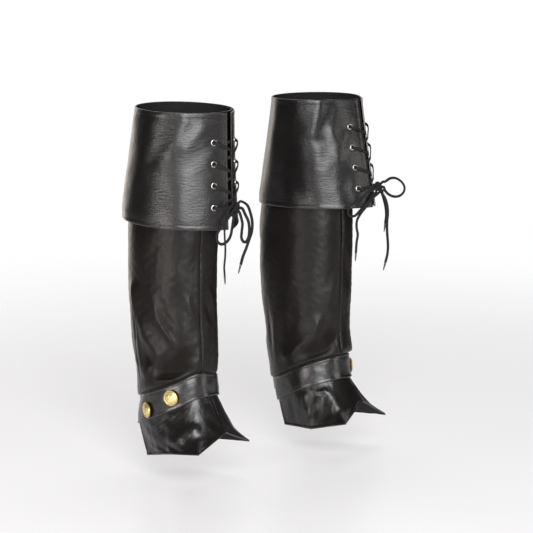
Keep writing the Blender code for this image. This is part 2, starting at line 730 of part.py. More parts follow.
def build_cuff(leg, collection, cutters):
    """Flared band open down its front, with eight holes for the eyelets."""
    slit_angle = math.degrees(math.asin(SLIT_HALF / leg["cuff"][1][1]))
    half = [slit_angle, *CUFF_ANGLES]
    angles = half + [360 - a for a in half[-2::-1]]
    grid = [[to_world(leg, *cuff_place(leg, a, s)) for a in angles] for s in CUFF_ROWS]
    normals = [[n * normal_sign(leg) for n in line] for line in grid_normals(grid, closed=False)]
    name = leg["name"] + "_cuff"
    mesh = wall_mesh(name, grid, offset_grid(grid, normals, -CUFF_WALL), leg["side"] < 0)
    cuff = add_object(name, mesh, "cuff_leather", collection)

    holes = bmesh.new()
    for side in (1, -1):
        for drop in EYELET_DROPS:
            spot, normal = cuff_frame(leg, side * EYELET_ANGLE * leg["spread"], drop)
            place = Matrix.Translation(spot) @ normal.to_track_quat("Z", "Y").to_matrix().to_4x4()
            bmesh.ops.create_cone(holes, cap_ends=True, segments=EYELET_SIDES, depth=HOLE_DEPTH,
                                  radius1=EYELET_HOLE, radius2=EYELET_HOLE, matrix=place)
    hole_mesh = bpy.data.meshes.new(name + "_holes")
    holes.to_mesh(hole_mesh)
    holes.free()
    cutter = bpy.data.objects.new(name + "_holes", hole_mesh)
    cutters.objects.link(cutter)
    cutter.hide_render = True
    cutter.display_type = "WIRE"
    cut = cuff.modifiers.new("Eyelet holes", "BOOLEAN")
    cut.operation = "DIFFERENCE"
    cut.solver = "EXACT"
    cut.object = cutter


def build_eyelets(leg, collection):
    """Rolled metal rings, each with its barrel through the cuff."""
    profile = (
        (EYELET_BORE + 0.0004, EYELET_SEAT + 0.0011),
        (EYELET_FLANGE - 0.0005, EYELET_SEAT + 0.0009),
        (EYELET_FLANGE, EYELET_SEAT),
        (EYELET_BARREL, EYELET_SEAT),
        (EYELET_BARREL, -EYELET_UNDER),
        (EYELET_BORE, -EYELET_UNDER),
    )
    for side, word in ((1, "outer"), (-1, "inner")):
        for number, drop in enumerate(EYELET_DROPS, start=1):
            spot, normal = cuff_frame(leg, side * EYELET_ANGLE * leg["spread"], drop)
            name = leg["name"] + "_eyelet_" + word + "_" + str(number)
            turned_object(name, profile, EYELET_SIDES, spot, normal, "eyelet_metal", collection)


def lace_point(leg, angle, drop, stand_off):
    return to_world(leg, *cuff_place(leg, angle * leg["spread"], cuff_share(leg, drop), stand_off))


def knot_place(leg):
    return lace_point(leg, 0, EYELET_DROPS[-1] + KNOT_DROP, KNOT_STANDOFF)


def knot_leave(leg, direction, more):
    """Point off the knot by a little more, in a direction given as outward, forward, up."""
    outward, forward, up = Vector(direction).normalized()
    wide, deep, tall = KNOT_SIZE
    reach = more + 1 / math.sqrt((outward / wide) ** 2 + (forward / deep) ** 2 + (up / tall) ** 2)
    middle = to_world(leg, 0.0, 0.0, HELD_HEIGHT)
    way = to_world(leg, forward, outward, HELD_HEIGHT) - middle
    return knot_place(leg) + (way + Vector((0, 0, up))) * reach


def lace_route(leg, first_side):
    """Points of one half of the lace: the bar behind, three crossings, out to the knot."""
    points = [lace_point(leg, first_side * angle, EYELET_DROPS[0], off) for angle, off in BAR]
    side = first_side
    for level in range(len(EYELET_DROPS) - 1):
        start, end = EYELET_DROPS[level], EYELET_DROPS[level + 1]
        column = 2 if side == leg["shallow_side"] else 1
        for row in CROSSING:
            points.append(lace_point(leg, side * row[0], lerp(start, end, row[column]), row[3]))
        side = -side
    for angle, more, off in LAST:
        points.append(lace_point(leg, side * angle, EYELET_DROPS[-1] + more, off))
    outward, forward, up = LACE_LEAVES
    points.append(knot_leave(leg, (side * outward, forward, up), KNOT_GAP))
    return points


def smooth_points(points, step):
    """Points about one step apart on a smooth curve through the given ones."""
    padded = [2 * points[0] - points[1], *points, 2 * points[-1] - points[-2]]
    result = []
    for before, start, end, after in zip(padded, padded[1:], padded[2:], padded[3:]):
        count = max(1, round((end - start).length / step))
        for index in range(count):
            s = index / count
            result.append(0.5 * (2 * start + (end - before) * s
                                 + (2 * before - 5 * start + 4 * end - after) * s ** 2
                                 + (3 * start - before - 3 * end + after) * s ** 3))
    result.append(points[-1])
    return result


def ribbon_mesh(name, points, width, thickness):
    """Flat lace along a route, its width kept as near upright as the route lets it."""
    shape = bmesh.new()
    rings = []
    for index, point in enumerate(points):
        ahead = points[min(index + 1, len(points) - 1)]
        behind = points[max(index - 1, 0)]
        run = (ahead - behind).normalized()
        wide = (Vector((0, 0, -1)) + run * run.z).normalized()
        deep = run.cross(wide)
        ring = []
        for side in range(LACE_SIDES):
            turn = math.tau * side / LACE_SIDES
            reach = wide * math.cos(turn) * width / 2 + deep * math.sin(turn) * thickness / 2
            ring.append(shape.verts.new(point + reach))
        rings.append(ring)
    for ring, following in zip(rings, rings[1:]):
        for side in range(LACE_SIDES):
            other = (side + 1) % LACE_SIDES
            shape.faces.new((ring[side], ring[other], following[other], following[side]))
    shape.faces.new(rings[0][::-1])
    shape.faces.new(rings[-1])
    mesh = bpy.data.meshes.new(name)
    shape.to_mesh(mesh)
    shape.free()
    return mesh


def build_lacing(leg, collection):
    """Both halves of the criss-cross lace, and the knot that they meet in."""
    for side, word in ((1, "outer"), (-1, "inner")):
        name = leg["name"] + "_lacing_" + word
        mesh = ribbon_mesh(name, smooth_points(lace_route(leg, side), LACE_STEP), LACE_WIDTH, LACE_THICKNESS)
        add_object(name, mesh, "lace_cord", collection)
    name = leg["name"] + "_knot"
    shape = bmesh.new()
    around, down = KNOT_SEGMENTS
    bmesh.ops.create_uvsphere(shape, u_segments=around, v_segments=down, radius=1.0)
    mesh = bpy.data.meshes.new(name)
    shape.to_mesh(mesh)
    shape.free()
    mesh.transform(Matrix.Diagonal((*KNOT_SIZE, 1.0)))
    knot = add_object(name, mesh, "lace_cord", collection)
    knot.location = knot_place(leg)
    knot.rotation_euler = (0.0, 0.0, leg["side"] * math.radians(leg["toe_out"]))


def cord_object(name, points, collection):
    """Round cord as a curve with closed ends."""
    curve = bpy.data.curves.new(name, "CURVE")
    curve.dimensions = "3D"
    curve.bevel_depth = CORD_DIAMETER / 2
    curve.bevel_resolution = 2
    curve.use_fill_caps = True
    line = curve.splines.new("POLY")
    line.points.add(len(points) - 1)
    for spot, point in zip(line.points, points):
        spot.co = (*point, 1.0)
    curve.materials.append(make_material(name, "lace_cord"))
    item = bpy.data.objects.new(name, curve)
    collection.objects.link(item)
    return item


def tip_object(name, start, direction, collection):
    """Slim tapered tip beyond the end of a tail."""
    shape = bmesh.new()
    bmesh.ops.create_cone(shape, cap_ends=True, segments=TIP_SIDES, depth=TIP_LENGTH,
                          radius1=TIP_RADIUS, radius2=TIP_POINT_RADIUS,
                          matrix=Matrix.Translation((0, 0, TIP_LENGTH / 2)))
    mesh = bpy.data.meshes.new(name)
    shape.to_mesh(mesh)
    shape.free()
    tip = add_object(name, mesh, "lace_tip", collection)
    tip.rotation_mode = "QUATERNION"
    tip.rotation_quaternion = direction.to_track_quat("Z", "Y")
    tip.location = start + direction * GAP


def build_cords(leg, cords, collection):
    """Bow loops and tails that leave the knot."""
    for word, (leave, places, enter) in cords.items():
        route = [knot_leave(leg, leave, KNOT_GAP), knot_leave(leg, leave, KNOT_GAP + KNOT_RUN)]
        route += [to_world(leg, *place) for place in places]
        if enter:
            route += [knot_leave(leg, enter, KNOT_GAP + KNOT_RUN), knot_leave(leg, enter, KNOT_GAP)]
        points = smooth_points(route, CORD_STEP)
        cord_object(leg["name"] + "_" + word, points, collection)
        if word.startswith("tail"):
            direction = (points[-1] - points[-2]).normalized()
            tip_object(leg["name"] + "_tip_" + word[5:], points[-1], direction, collection)


def main():
    clear_scene()
    parts = new_collection("Boot covers")
    cutters = new_collection("Cutters")
    for leg, cords in ((RIGHT, RIGHT_CORDS), (LEFT, LEFT_CORDS)):
        build_shaft(leg, parts)
        build_cuff(leg, parts, cutters)
        build_spat(leg, parts)
        build_strap(leg, parts)
        build_buttons(leg, parts)
        build_eyelets(leg, parts)
        build_lacing(leg, parts)
        build_cords(leg, cords, parts)


main()
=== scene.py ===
"""Looks of a worn pair of tall leather boot covers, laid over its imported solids.

Units are metres unless a table says otherwise, in the solids' own frame: the wearer
faces -Y, their right side is -X and +Z is up. On each leg a place is given as forward,
outward (away from the other leg) and height above the ground; angles round a leg start at
the front and grow towards its outer side. The tables of sections and lace routes are the
solids' own.
"""

import math

import bpy
import numpy as np
from mathutils import Matrix, Vector


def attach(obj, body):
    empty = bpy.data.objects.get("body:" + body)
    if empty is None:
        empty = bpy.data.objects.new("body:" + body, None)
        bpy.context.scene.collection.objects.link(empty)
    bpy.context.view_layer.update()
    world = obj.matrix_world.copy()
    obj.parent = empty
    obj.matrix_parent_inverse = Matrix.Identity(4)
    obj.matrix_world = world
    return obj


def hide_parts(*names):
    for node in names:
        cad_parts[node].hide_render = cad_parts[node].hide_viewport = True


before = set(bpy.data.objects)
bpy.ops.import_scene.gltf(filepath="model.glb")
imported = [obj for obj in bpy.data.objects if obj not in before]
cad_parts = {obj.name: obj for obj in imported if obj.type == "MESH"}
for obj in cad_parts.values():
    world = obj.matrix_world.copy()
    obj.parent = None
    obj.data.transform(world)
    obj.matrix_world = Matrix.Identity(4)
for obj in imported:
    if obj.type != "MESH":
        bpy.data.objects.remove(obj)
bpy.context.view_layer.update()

ROOT = "root"
MM = 1000.0  # millimetres in a metre
HELD_HEIGHT = 0.550

# Camera, fitted to the photograph's viewing angle
CAMERA_SPOT = (-2.1401, -1.3972, 0.250)
CAMERA_TURN = (79.4, 0.0, -60.0)
CAMERA_LENS = 117.5
CAMERA_SENSOR = 36.0

# Sizes and angles, mostly the solids' own
WALL = 0.0015
GAP = 0.0003
STRAP_WIDTH = 0.034
STRAP_WALL = 0.0017
STRAP_SEAT = 0.0005
BACK_END = 138
SLIT_HALF = 0.005
KEEL_REACH = 0.050
CUFF_WALL = 0.0016
EYELET_ANGLE = 18.25
EYELET_DROPS = (0.042, 0.073, 0.104, 0.136)
EYELET_BORE = 0.0026
EYELET_BARREL = 0.0031
EYELET_HOLE = 0.0035
EYELET_FLANGE = 0.0048
EYELET_ROLL = 0.00115
EYELET_SEAT = 0.0002
EYELET_UNDER = -0.0001
EYELET_DEEP = -0.0019
EYELET_DENT = (0.0005, 0.0065)  # depth and reach of the cuff's hollow round it
LACE_THICKNESS = 0.0018
BRAID_WIDTH = 0.0044
BRAID_THICKNESS = 0.0029
LACE_STEP = 0.0016
CORD_SIDES = 14
CORD_FLATNESS = 0.8
TIP_LENGTH = 0.013
TIP_RADIUS = 0.0015
TIP_POINT_RADIUS = 0.0007
TIP_SIDES = 20
TIP_PROFILE = ((0.0, 0.85), (0.0004, 1.0), (0.0032, 1.0), (0.0036, 0.90), (0.0042, 0.96), (0.0090, 0.72),
               (0.0122, 0.52), (TIP_LENGTH, 0.34))
KNOT_SIZE = (0.0075, 0.0056, 0.0066)
KNOT_STANDOFF = 0.0072
KNOT_GAP = 0.0004
KNOT_RUN = 0.0040
KNOT_BANDS = ((0.30, -0.0012, 0.92), (-0.55, 0.0014, 0.86))  # lean, shift, size
BUTTON_RADIUS = 0.0118
BUTTON_SHANK = 0.0035
# Radius and height of a button's dome, then of its rim and back
BUTTON_DOME = ((0.0, 0.0062), (0.0045, 0.0058), (0.0080, 0.0047), (0.0098, 0.0036))
BUTTON_EDGE = ((0.0105, 0.00395), (0.0110, 0.00405), (0.0115, 0.0038), (BUTTON_RADIUS, 0.0033),
               (0.01175, 0.0028), (0.0112, 0.0024), (0.0060, 0.0019), (BUTTON_SHANK, 0.0014),
               (BUTTON_SHANK, 0.0))
BUTTON_PLACES = {  # angle, drop below the strap's middle line, lean
    "right": ((66, 0.0, 8), (108, 0.0060, 8)),
    "left": ((34, 0.0006, 0), (76, 0.0, 0)),
}
SEAM_ANGLE = 20
SHAFT_TUCK = 0.0006
SHAFT_DROP = 0.004
SPAT_TUCK = 0.0004
SPAT_SAG = 0.0035
# The spat's hem is evened over these turns for the rows above it, up to a share of the way
SOFT_TURNS = range(-24, 25, 4)
SOFT_ENDS = 18
SOFT_UNTIL = 0.62
PANEL_GAP = 0.13  # degrees from a seam to each panel's edge
FOLD_RADIUS = 0.066
FOLD_GROWTH = 0.4  # share of a fold's length in which it grows
SHAFT_DEEPEST = 0.006  # how far folds may reach in above the bag
BAG_BLEND = 0.020
# Depths of fold at which the painted shade of the folds is darkest, on the shaft and on the cuff
SHAFT_SHADE_DEPTH = 0.0050  # depth of fold at which the painted shade is darkest
CUFF_SHADE_DEPTH = 0.0022
CREASE_ENDS = 0.15  # share of a crease's push at its ends
CLOTH_SHIFT = 0.7

# Grids: steps down and round, lengths round, counts of rows
CUFF_STEPS = (0.0017, 0.0019)
CUFF_ROUND = 0.5
STRAP_STEP = 0.0016
STRAP_ROUND = 0.31
SPAT_STEPS = (0.0016, 0.0017)
SHAFT_STEPS = {"shaft_front": 0.0019, "shaft_outer": 0.0021, "shaft_inner": 0.0021}
SHAFT_ROWS = 160
BAG_LINES = 46
HIDDEN_ROWS = 5
CUFF_ARC = 0.0013  # metres in a degree round the cuff
SHAFT_ARC = 0.00115
EYELET_SIDES = 36
BUTTON_SIDES = 96

# The bag over the strap: height above the strap's top edge, push outwards
BAG_ROWS = (
    (0.066, 0.0),
    (0.046, 0.0012),
    (0.034, 0.0030),
    (0.023, 0.0052),
    (0.014, 0.0070),
    (0.0078, 0.0074),
    (0.0040, 0.0060),
    (0.0024, 0.0034),
    (0.0019, 0.0004),
)

# Columns of each leg's tables, in millimetres and degrees; spread widens the lacing's angles:
# rim, cuff_hem, strap: height at the leg's middle, rise towards the front
# shaft: height, outer half width, inner half width, front reach, back reach
# cuff: share of the way down, outer half, inner half, front reach, back reach, keel
# bag: angle, share of the full push
# band: angle, rise of the strap's middle line above its tilted plane, added half width
# hem: angle, forward, outward, height of the spat's lower edge
# folds: points (angle, height), push (outwards is +), half width
# creases: the same, for the fine creases that only the looks have
# dents: points (angle, drop below the rim), push, half width, on the cuff
# tucks: points (angle, drop below the strap's middle), push, half width, on the spat
RIGHT = {
    "name": "right",
    "side": -1,
    "spot": (0.0, 0.0),
    "toe_out": 8,
    "shaft": (
        (555, 71.6, 67.4, 96.3, 43.4),
        (500, 65.5, 62.5, 90, 52),
        (440, 59, 57, 83, 62.5),
        (395, 56, 54.5, 78, 71.2),
        (370, 57, 53.5, 76.5, 73.2),
        (325, 56, 53, 73.8, 74.2),
        (270, 55, 53, 73, 73.5),
        (225, 54.5, 52.5, 75, 70.5),
        (195, 52.5, 51.5, 74, 67.5),
        (162, 50, 49, 71.5, 59),
        (130, 47.5, 48, 74, 55),
        (100, 47.5, 48, 85, 58.5),
        (70, 49, 49, 100, 64),
    ),
    "cuff": (
        (0.00, 73.5, 69, 98.5, 44.7, 14),
        (0.45, 75.5, 76, 99.5, 59, 13.5),
        (0.90, 78.5, 85, 101.5, 74.5, 12.5),
        (1.00, 77.5, 88, 101.5, 74.7, 12.5),
    ),
    "rim": (563, -0.04),
    "cuff_hem": (395.5, -0.05),
    "spread": 1.0,
    "strap": (120.5, 0.43),
    "band": ((-180, 0, 1), (-90, 0, 0), (-20, -0.5, -2.2),
             (0, 1.2, -1.8), (20, 4.2, 0), (35, 4.6, 0),
             (60, 0.8, -0.4), (90, 0, 1), (115, -0.5, 2.8),
             (138, -1.2, 3), (180, 0, 1)),
    "bag": ((0, 0.2), (30, 0.5), (60, 1.0), (100, 1.0), (138, 0.7), (180, 0.4),
            (222, 0.6), (260, 0.8), (300, 0.5), (335, 0.2), (360, 0.2)),
    "outer_hem": (
        (0, 102.3, 0, 83.6),
        (40, 101, 63, 63),
        (82, 42, 60, 53),
        (138, -15, 45, 38),
    ),
    "inner_hem": (
        (0, 102.3, 0, 83.6),
        (40, 102.3, 56, 58),
        (82, 42, 56, 51),
        (138, -15, 44, 40),
    ),
    "shallow_side": 1,
    "folds": (
        (((118, 290), (110, 255), (98, 225), (80, 200), (84, 185), (104, 170)), 3.5, 11),
        (((44, 205), (56, 190), (72, 176)), -6, 16),
        (((250, 300), (262, 250), (280, 215), (300, 195)), 3.2, 12),
        (((236, 215), (250, 190), (268, 178)), -4, 13),
        (((160, 345), (166, 280), (158, 220)), -2.2, 11),
        (((196, 330), (202, 260), (196, 200)), 2, 10),
    ),
    "creases": (
        (((36, 300), (30, 285), (22, 262)), -1.1, 4),
        (((42, 292), (35, 272), (25, 250)), 1, 5),
        (((24, 230), (34, 212), (46, 200)), 0.9, 4.5),
        (((96, 196), (88, 180), (96, 164)), -1, 4),
        (((130, 205), (124, 180), (120, 150)), 1.2, 5),
        (((140, 240), (134, 200), (131, 160)), -1, 5),
        (((74, 380), (86, 345), (92, 310)), -0.9, 10),
        (((60, 350), (50, 320), (44, 290)), 0.9, 10),
        (((4, 305), (-4, 285), (-10, 262)), 1.6, 6),
        (((12, 285), (4, 262), (-6, 240)), -1.4, 6),
        (((224, 290), (232, 250), (240, 215)), 1.2, 6),
        (((290, 290), (300, 262), (316, 240)), -1.1, 5.5),
        (((318, 225), (306, 205), (292, 195)), 0.9, 4.5),
        (((212, 230), (218, 190), (216, 150)), -1.2, 5),
        (((264, 196), (274, 184), (288, 178)), 1, 4),
        (((150, 380), (168, 350), (190, 335)), 1, 9),
        (((172, 175), (180, 155), (190, 140)), 1.2, 5.5),
        (((86, 296), (78, 252), (66, 232), (58, 218), (57, 198), (66, 182)), 2.2, 5),
        (((76, 300), (67, 258), (55, 240), (46, 222)), -1.2, 6),
        (((72, 182), (50, 180), (26, 180)), -4, 8),
        (((84, 161), (66, 163), (48, 168)), 2.2, 2.4),
        (((120, 300), (114, 235), (114, 180), (110, 152)), 1.6, 3.2),
        (((127, 305), (121, 238), (121, 182)), -1.3, 4),
    ),
    "dents": (
        (((62, 10), (72, 40), (84, 75)), -0.8, 10),
        (((50, 12), (56, 30), (64, 55)), 1.1, 8),
        (((30, 22), (38, 34), (48, 50)), 1, 8),
        (((24, 50), (34, 58), (46, 75)), -0.4, 8.5),
        (((88, 20), (98, 60), (106, 110)), 1, 12),
        (((44, 90), (50, 120), (52, 160)), 0.3, 11),
        (((76, 110), (82, 140), (80, 165)), -0.4, 11),
        (((130, 20), (138, 70), (134, 120)), 1, 13),
        (((170, 30), (182, 80), (176, 130)), -1, 14),
        (((226, 20), (216, 70), (222, 120)), 1.1, 13),
        (((262, 15), (272, 60), (266, 110)), -1.2, 12),
        (((300, 20), (292, 60), (284, 100)), 1.2, 10),
        (((322, 30), (316, 70), (308, 120)), -0.9, 9),
    ),
    "tucks": (
        (((52, 30), (54, 46), (52, 52)), 0.5, 5.5),
        (((40, 36), (42, 46)), -0.6, 5),
        (((70, 64), (56, 59), (42, 62)), 2.4, 9.5),
        (((84, 26), (88, 50), (92, 70)), -1.2, 8),
        (((110, 22), (108, 45), (106, 66)), 1, 6),
        (((-46, 30), (-50, 50), (-46, 64)), 1.3, 6),
        (((-66, 28), (-72, 52), (-70, 70)), -1.2, 7),
        (((-96, 24), (-100, 50), (-102, 68)), 1.1, 7),
    ),
}

LEFT = {
    "name": "left",
    "side": 1,
    "spot": (230, -98),
    "toe_out": 2,
    "shaft": (
        (555, 71.5, 71.2, 81.5, 46.6),
        (500, 65, 64, 83, 54),
        (440, 58, 55.5, 81, 63),
        (395, 55, 54, 78.5, 71.2),
        (365, 54, 53.5, 79.5, 74.2),
        (305, 53.5, 53.5, 78.5, 76.5),
        (256, 53, 53, 77.6, 73.2),
        (200, 52.5, 52, 74.5, 66.2),
        (159, 50, 50, 73.5, 61),
        (130, 47.5, 47.5, 74.5, 54),
        (100, 47.5, 47.5, 86, 50),
        (70, 49, 49, 100, 44),
    ),
    "cuff": (
        (0.00, 73.5, 73.5, 83, 47.8, 13.5),
        (0.45, 73.5, 69, 93, 61, 15),
        (0.90, 73.5, 63, 104, 74.7, 16.2),
        (1.00, 73, 62.5, 105.5, 74.9, 16.2),
    ),
    "rim": (564.5, 0.0),
    "cuff_hem": (397, 0.01),
    "spread": 1.13,
    "strap": (110.5, 0.41),
    "band": ((-180, 0, 0), (-138, 1.9, -0.8), (-110, 5.5, -1.6),
             (-85, 8, -2), (-60, 7.7, -1.2), (-30, 5.2, -0.3),
             (-10, 3, 0.8), (5, 1, 1), (30, 0, 0.5),
             (90, 0, 0), (180, 0, 0)),
    "bag": ((0, 0.8), (30, 0.8), (60, 0.9), (100, 0.9), (138, 0.6), (180, 0.4),
            (222, 0.5), (260, 0.8), (300, 1.0), (335, 0.9), (360, 0.8)),
    "outer_hem": (
        (0, 103.6, 0, 88),
        (40, 115, 66, 52),
        (82, 50, 60, 50),
        (138, -20, 43, 44),
    ),
    "inner_hem": (
        (0, 103.6, 0, 88),
        (40, 103.6, 61.2, 65),
        (82, 42, 57, 48),
        (138, -12, 43, 45),
    ),
    "shallow_side": -1,
    "folds": (
        (((304, 215), (300, 196), (284, 178), (262, 160)), 3.5, 10),
        (((322, 192), (308, 180), (292, 168)), -6, 16),
        (((118, 280), (108, 235), (92, 205)), 3.2, 12),
        (((60, 205), (74, 190), (90, 178)), -4.5, 14),
        (((168, 340), (160, 270), (166, 200)), 2, 11),
        (((200, 330), (194, 250), (202, 190)), -2.2, 11),
    ),
    "creases": (
        (((344, 330), (350, 300), (358, 262)), -1.6, 5.5),
        (((352, 340), (360, 308), (368, 270)), 1.6, 6),
        (((346, 262), (352, 240), (360, 215)), -1.2, 5),
        (((336, 300), (328, 270), (318, 245)), 0.8, 9),
        (((330, 208), (322, 196), (312, 190)), 0.9, 4.5),
        (((276, 250), (272, 215), (262, 180)), -1, 8),
        (((244, 230), (240, 190), (238, 150)), 1.3, 5),
        (((230, 240), (230, 195), (230, 155)), -1.1, 5),
        (((290, 370), (282, 340), (276, 300)), 0.8, 11),
        (((84, 300), (76, 262), (60, 240)), -1.1, 6),
        (((44, 230), (56, 212), (70, 200)), 1, 5),
        (((130, 230), (124, 190), (122, 155)), 1.2, 5.5),
        (((146, 250), (142, 200), (140, 160)), -1.2, 5.5),
        (((206, 380), (186, 352), (168, 336)), 1, 9),
        (((178, 176), (186, 156), (194, 142)), 1.2, 5.5),
        (((286, 166), (306, 172), (330, 180)), -3, 8),
        (((268, 147), (284, 153), (306, 160)), 1.2, 2.4),
    ),
    "dents": (
        (((304, 8), (298, 30), (292, 50)), 1.4, 8.5),
        (((316, 12), (308, 36), (300, 60)), -1.3, 8.5),
        (((318, 48), (322, 66), (318, 82)), 1.2, 7.5),
        (((304, 60), (306, 80), (300, 100)), -0.8, 6.5),
        (((334, 52), (328, 72), (320, 92)), 1, 6),
        (((296, 100), (292, 130), (296, 160)), 0.9, 12),
        (((276, 40), (268, 90), (274, 140)), -1, 12),
        (((330, 110), (324, 135), (326, 160)), -1, 8),
        (((242, 20), (236, 70), (242, 120)), 1.1, 13),
        (((196, 30), (188, 80), (194, 130)), -1, 14),
        (((150, 20), (158, 70), (150, 120)), 1, 13),
        (((104, 15), (96, 60), (102, 110)), -1.2, 12),
        (((62, 20), (70, 60), (78, 100)), 1.2, 10),
        (((36, 30), (44, 70), (52, 120)), -0.9, 9),
    ),
    "tucks": (
        (((-72, 18), (-66, 28), (-52, 32)), 1.6, 3.5),
        (((-52, 32), (-44, 46), (-40, 62)), 1.6, 8.5),
        (((-56, 40), (-62, 54), (-58, 68)), -1.2, 6),
        (((-84, 26), (-88, 46), (-84, 66)), 1, 7),
        (((-108, 22), (-110, 42), (-112, 60)), -1, 7),
        (((44, 30), (46, 50), (42, 70)), 1.4, 6),
        (((66, 26), (70, 50), (66, 70)), -1.2, 7),
        (((98, 24), (96, 46), (92, 66)), 1.1, 7),
    ),
}

# Free lace ends, in millimetres: length, where each leaves the knot (outward, forward, up),
# the points that it goes through (forward, outward, height), and where a loop comes back in
RIGHT_CORDS = {
    "tail_inner": (
        110,
        (-0.35, 0.60, 0.70),
        ((132, -13, 426), (133.5, -19, 413), (133.5, -23, 399.5),
         (132.5, -23, 386), (130, -20, 374), (127.5, -16.5, 362),
         (125, -12, 350), (123.5, -8.5, 338)),
        None,
    ),
    "loop_inner": (
        111,
        (-0.15, 0.55, -0.80),
        ((127.5, -4, 410), (128.5, -6.5, 399), (128, -5.5, 388),
         (127.5, -5.5, 378), (128.5, -9.5, 372), (130, -13.8, 372.5),
         (132, -16.4, 379), (133, -16.8, 390), (133, -14.5, 402),
         (130, -10.5, 413)),
        (-0.70, 0.60, -0.35),
    ),
    "tail_outer": (
        116,
        (0.80, 0.35, 0.50),
        ((126, 19, 424), (125, 25.5, 411), (124.5, 29, 398),
         (124, 28.5, 384), (123.5, 26.5, 369), (123, 26.5, 354),
         (122.5, 28, 340), (122, 26.5, 327)),
        None,
    ),
    "loop_outer": (
        139,
        (0.45, 0.60, -0.65),
        ((127, 12, 408), (128.5, 17, 396), (129, 21.5, 385),
         (129, 29, 378), (127.5, 39, 375), (126, 47, 380),
         (125.5, 47, 390), (127, 40, 399.5), (129, 30, 408.5),
         (129, 19, 417)),
        (0.75, 0.65, -0.05),
    ),
}

LEFT_CORDS = {
    "loop_outer": (
        101,
        (0.70, 0.45, 0.55),
        ((133, 11, 437), (140, 13, 442), (149, 13, 443),
         (158, 12.5, 439), (164, 12, 432), (164, 12, 424),
         (158, 12, 417), (149, 11.5, 414.5), (140, 10.5, 417),
         (133.5, 8.5, 423.5)),
        (0.70, 0.65, -0.20),
    ),
    "tail_outer": (
        118,
        (0.35, 0.60, -0.70),
        ((131, 4.5, 419), (135.5, 6, 411), (139, 6, 400),
         (140, 6, 388), (139, 6, 376), (139, 6, 364),
         (140, 6, 351), (141, 6, 337), (140, 6, 324),
         (137, 6, 312)),
        None,
    ),
    "tail_short": (
        58,
        (0.75, 0.10, -0.65),
        ((127, 12, 418), (129, 16, 407), (131, 18, 395),
         (132, 18, 383), (131, 17, 371)),
        None,
    ),
    "loop_inner": (
        149,
        (-0.80, 0.50, -0.10),
        ((121, -23, 425), (116, -34, 418), (109, -43, 411),
         (102.5, -50, 405), (100.5, -53, 397), (103, -51.5, 390),
         (109, -46, 390), (114.5, -38, 398), (120, -28, 407),
         (125, -16, 415)),
        (-0.45, 0.60, -0.60),
    ),
    "tail_inner": (
        108,
        (-0.60, 0.00, -0.80),
        ((119, -11, 413), (115, -19, 401), (110, -28, 391),
         (107, -34.5, 381), (106.5, -35, 370), (108.5, -35, 359),
         (107, -35.5, 347), (106, -35.5, 331)),
        None,
    ),
}

# One crossing of the lace: angle (own side is +), share of the drop on the steep side and
# on the shallow side, stand-off in millimetres from the cuff's outer face; then the bar
# behind the cuff (angle, stand-off) and the way to the knot (angle, drop, stand-off)
CROSSING = (
    (18.25, 0.00, 0.00, -0.6),
    (18.25, 0.00, 0.00, 1.6),
    (17.6, 0.03, 0.02, 3.7),
    (15.6, 0.10, 0.05, 5.2),
    (12.6, 0.24, 0.10, 4.8),
    (9.2, 0.40, 0.17, 3.2),
    (6.2, 0.53, 0.24, 2.1),
    (3.6, 0.60, 0.29, 1.7),
    (0.0, 0.68, 0.37, -0.6),
    (-3.6, 0.76, 0.45, -3.1),
    (-7.0, 0.83, 0.57, -3.4),
    (-11.5, 0.91, 0.76, -3.5),
    (-15.6, 0.98, 0.95, -4.6),
    (-18.1, 1.00, 1.00, -2.9),
)
BAR = ((1.4, -3.4), (5.5, -3.6), (11.5, -3.7), (15.6, -4.6), (18.1, -2.9))
LAST = (
    (18.25, 0, -0.6),
    (18.25, 0, 1.6),
    (17.5, 0.4, 3.7),
    (15.4, 0.8, 5),
    (12.0, 0.6, 4.8),
    (9.0, 0, 4.6),
)
KNOT_DROP = -0.002
LACE_LEAVES = (0.85, -0.40, 0.0)

# Sewing: stitch length, gap, thread radius, how far rows of stitches lie from an edge
STITCH_LENGTH = 0.0026
STITCH_GAP = 0.0010
THREAD_RADIUS = 0.00036
STITCH_SIDES = 6
RIM_STITCH = 0.0070
HEM_STITCH = 0.0060
SLIT_STITCH = 0.0068
STRAP_STITCH = 0.0032
SPAT_STITCH = 0.0042
HEM_RISE = 0.00045
STITCH_GROOVE = 0.00035
GROOVE_WIDTH = 0.0008
# Seams: depth and half width of the groove; place, height and half width of the ridge
SEAMS = {
    "shaft": (0.0009, 0.0011, 0.0042, 0.0004, 0.0022),
    "spat": (0.0008, 0.0010, 0.0034, 0.0005, 0.0018),
}
PUCKER_REACH = 0.006
# Rings of one stitch: share of its length, size and lift in thread radii
STITCH_RINGS = ((-0.50, 0.45, -0.7), (-0.36, 1.0, 0.10), (0.0, 1.05, 0.30), (0.36, 1.0, 0.10),
                (0.50, 0.45, -0.7))

# Unevenness of the cloth: depth, size, seed
UNEVEN = {
    "cuff_dents": (0.00022, 0.045, 11),
    "cuff_grain": (0.00007, 0.007, 5),
    "shaft_folds": (0.0006, 0.060, 31),
    "shaft_grain": (0.00015, 0.014, 7),
    "shaft_pucker": (0.00018, 0.011, 3),
    "spat_tucks": (0.0005, 0.030, 21),
    "spat_grain": (0.00014, 0.007, 9),
    "strap_swell": (0.00020, 0.022, 41),
    "strap_grain": (0.00006, 0.006, 43),
}

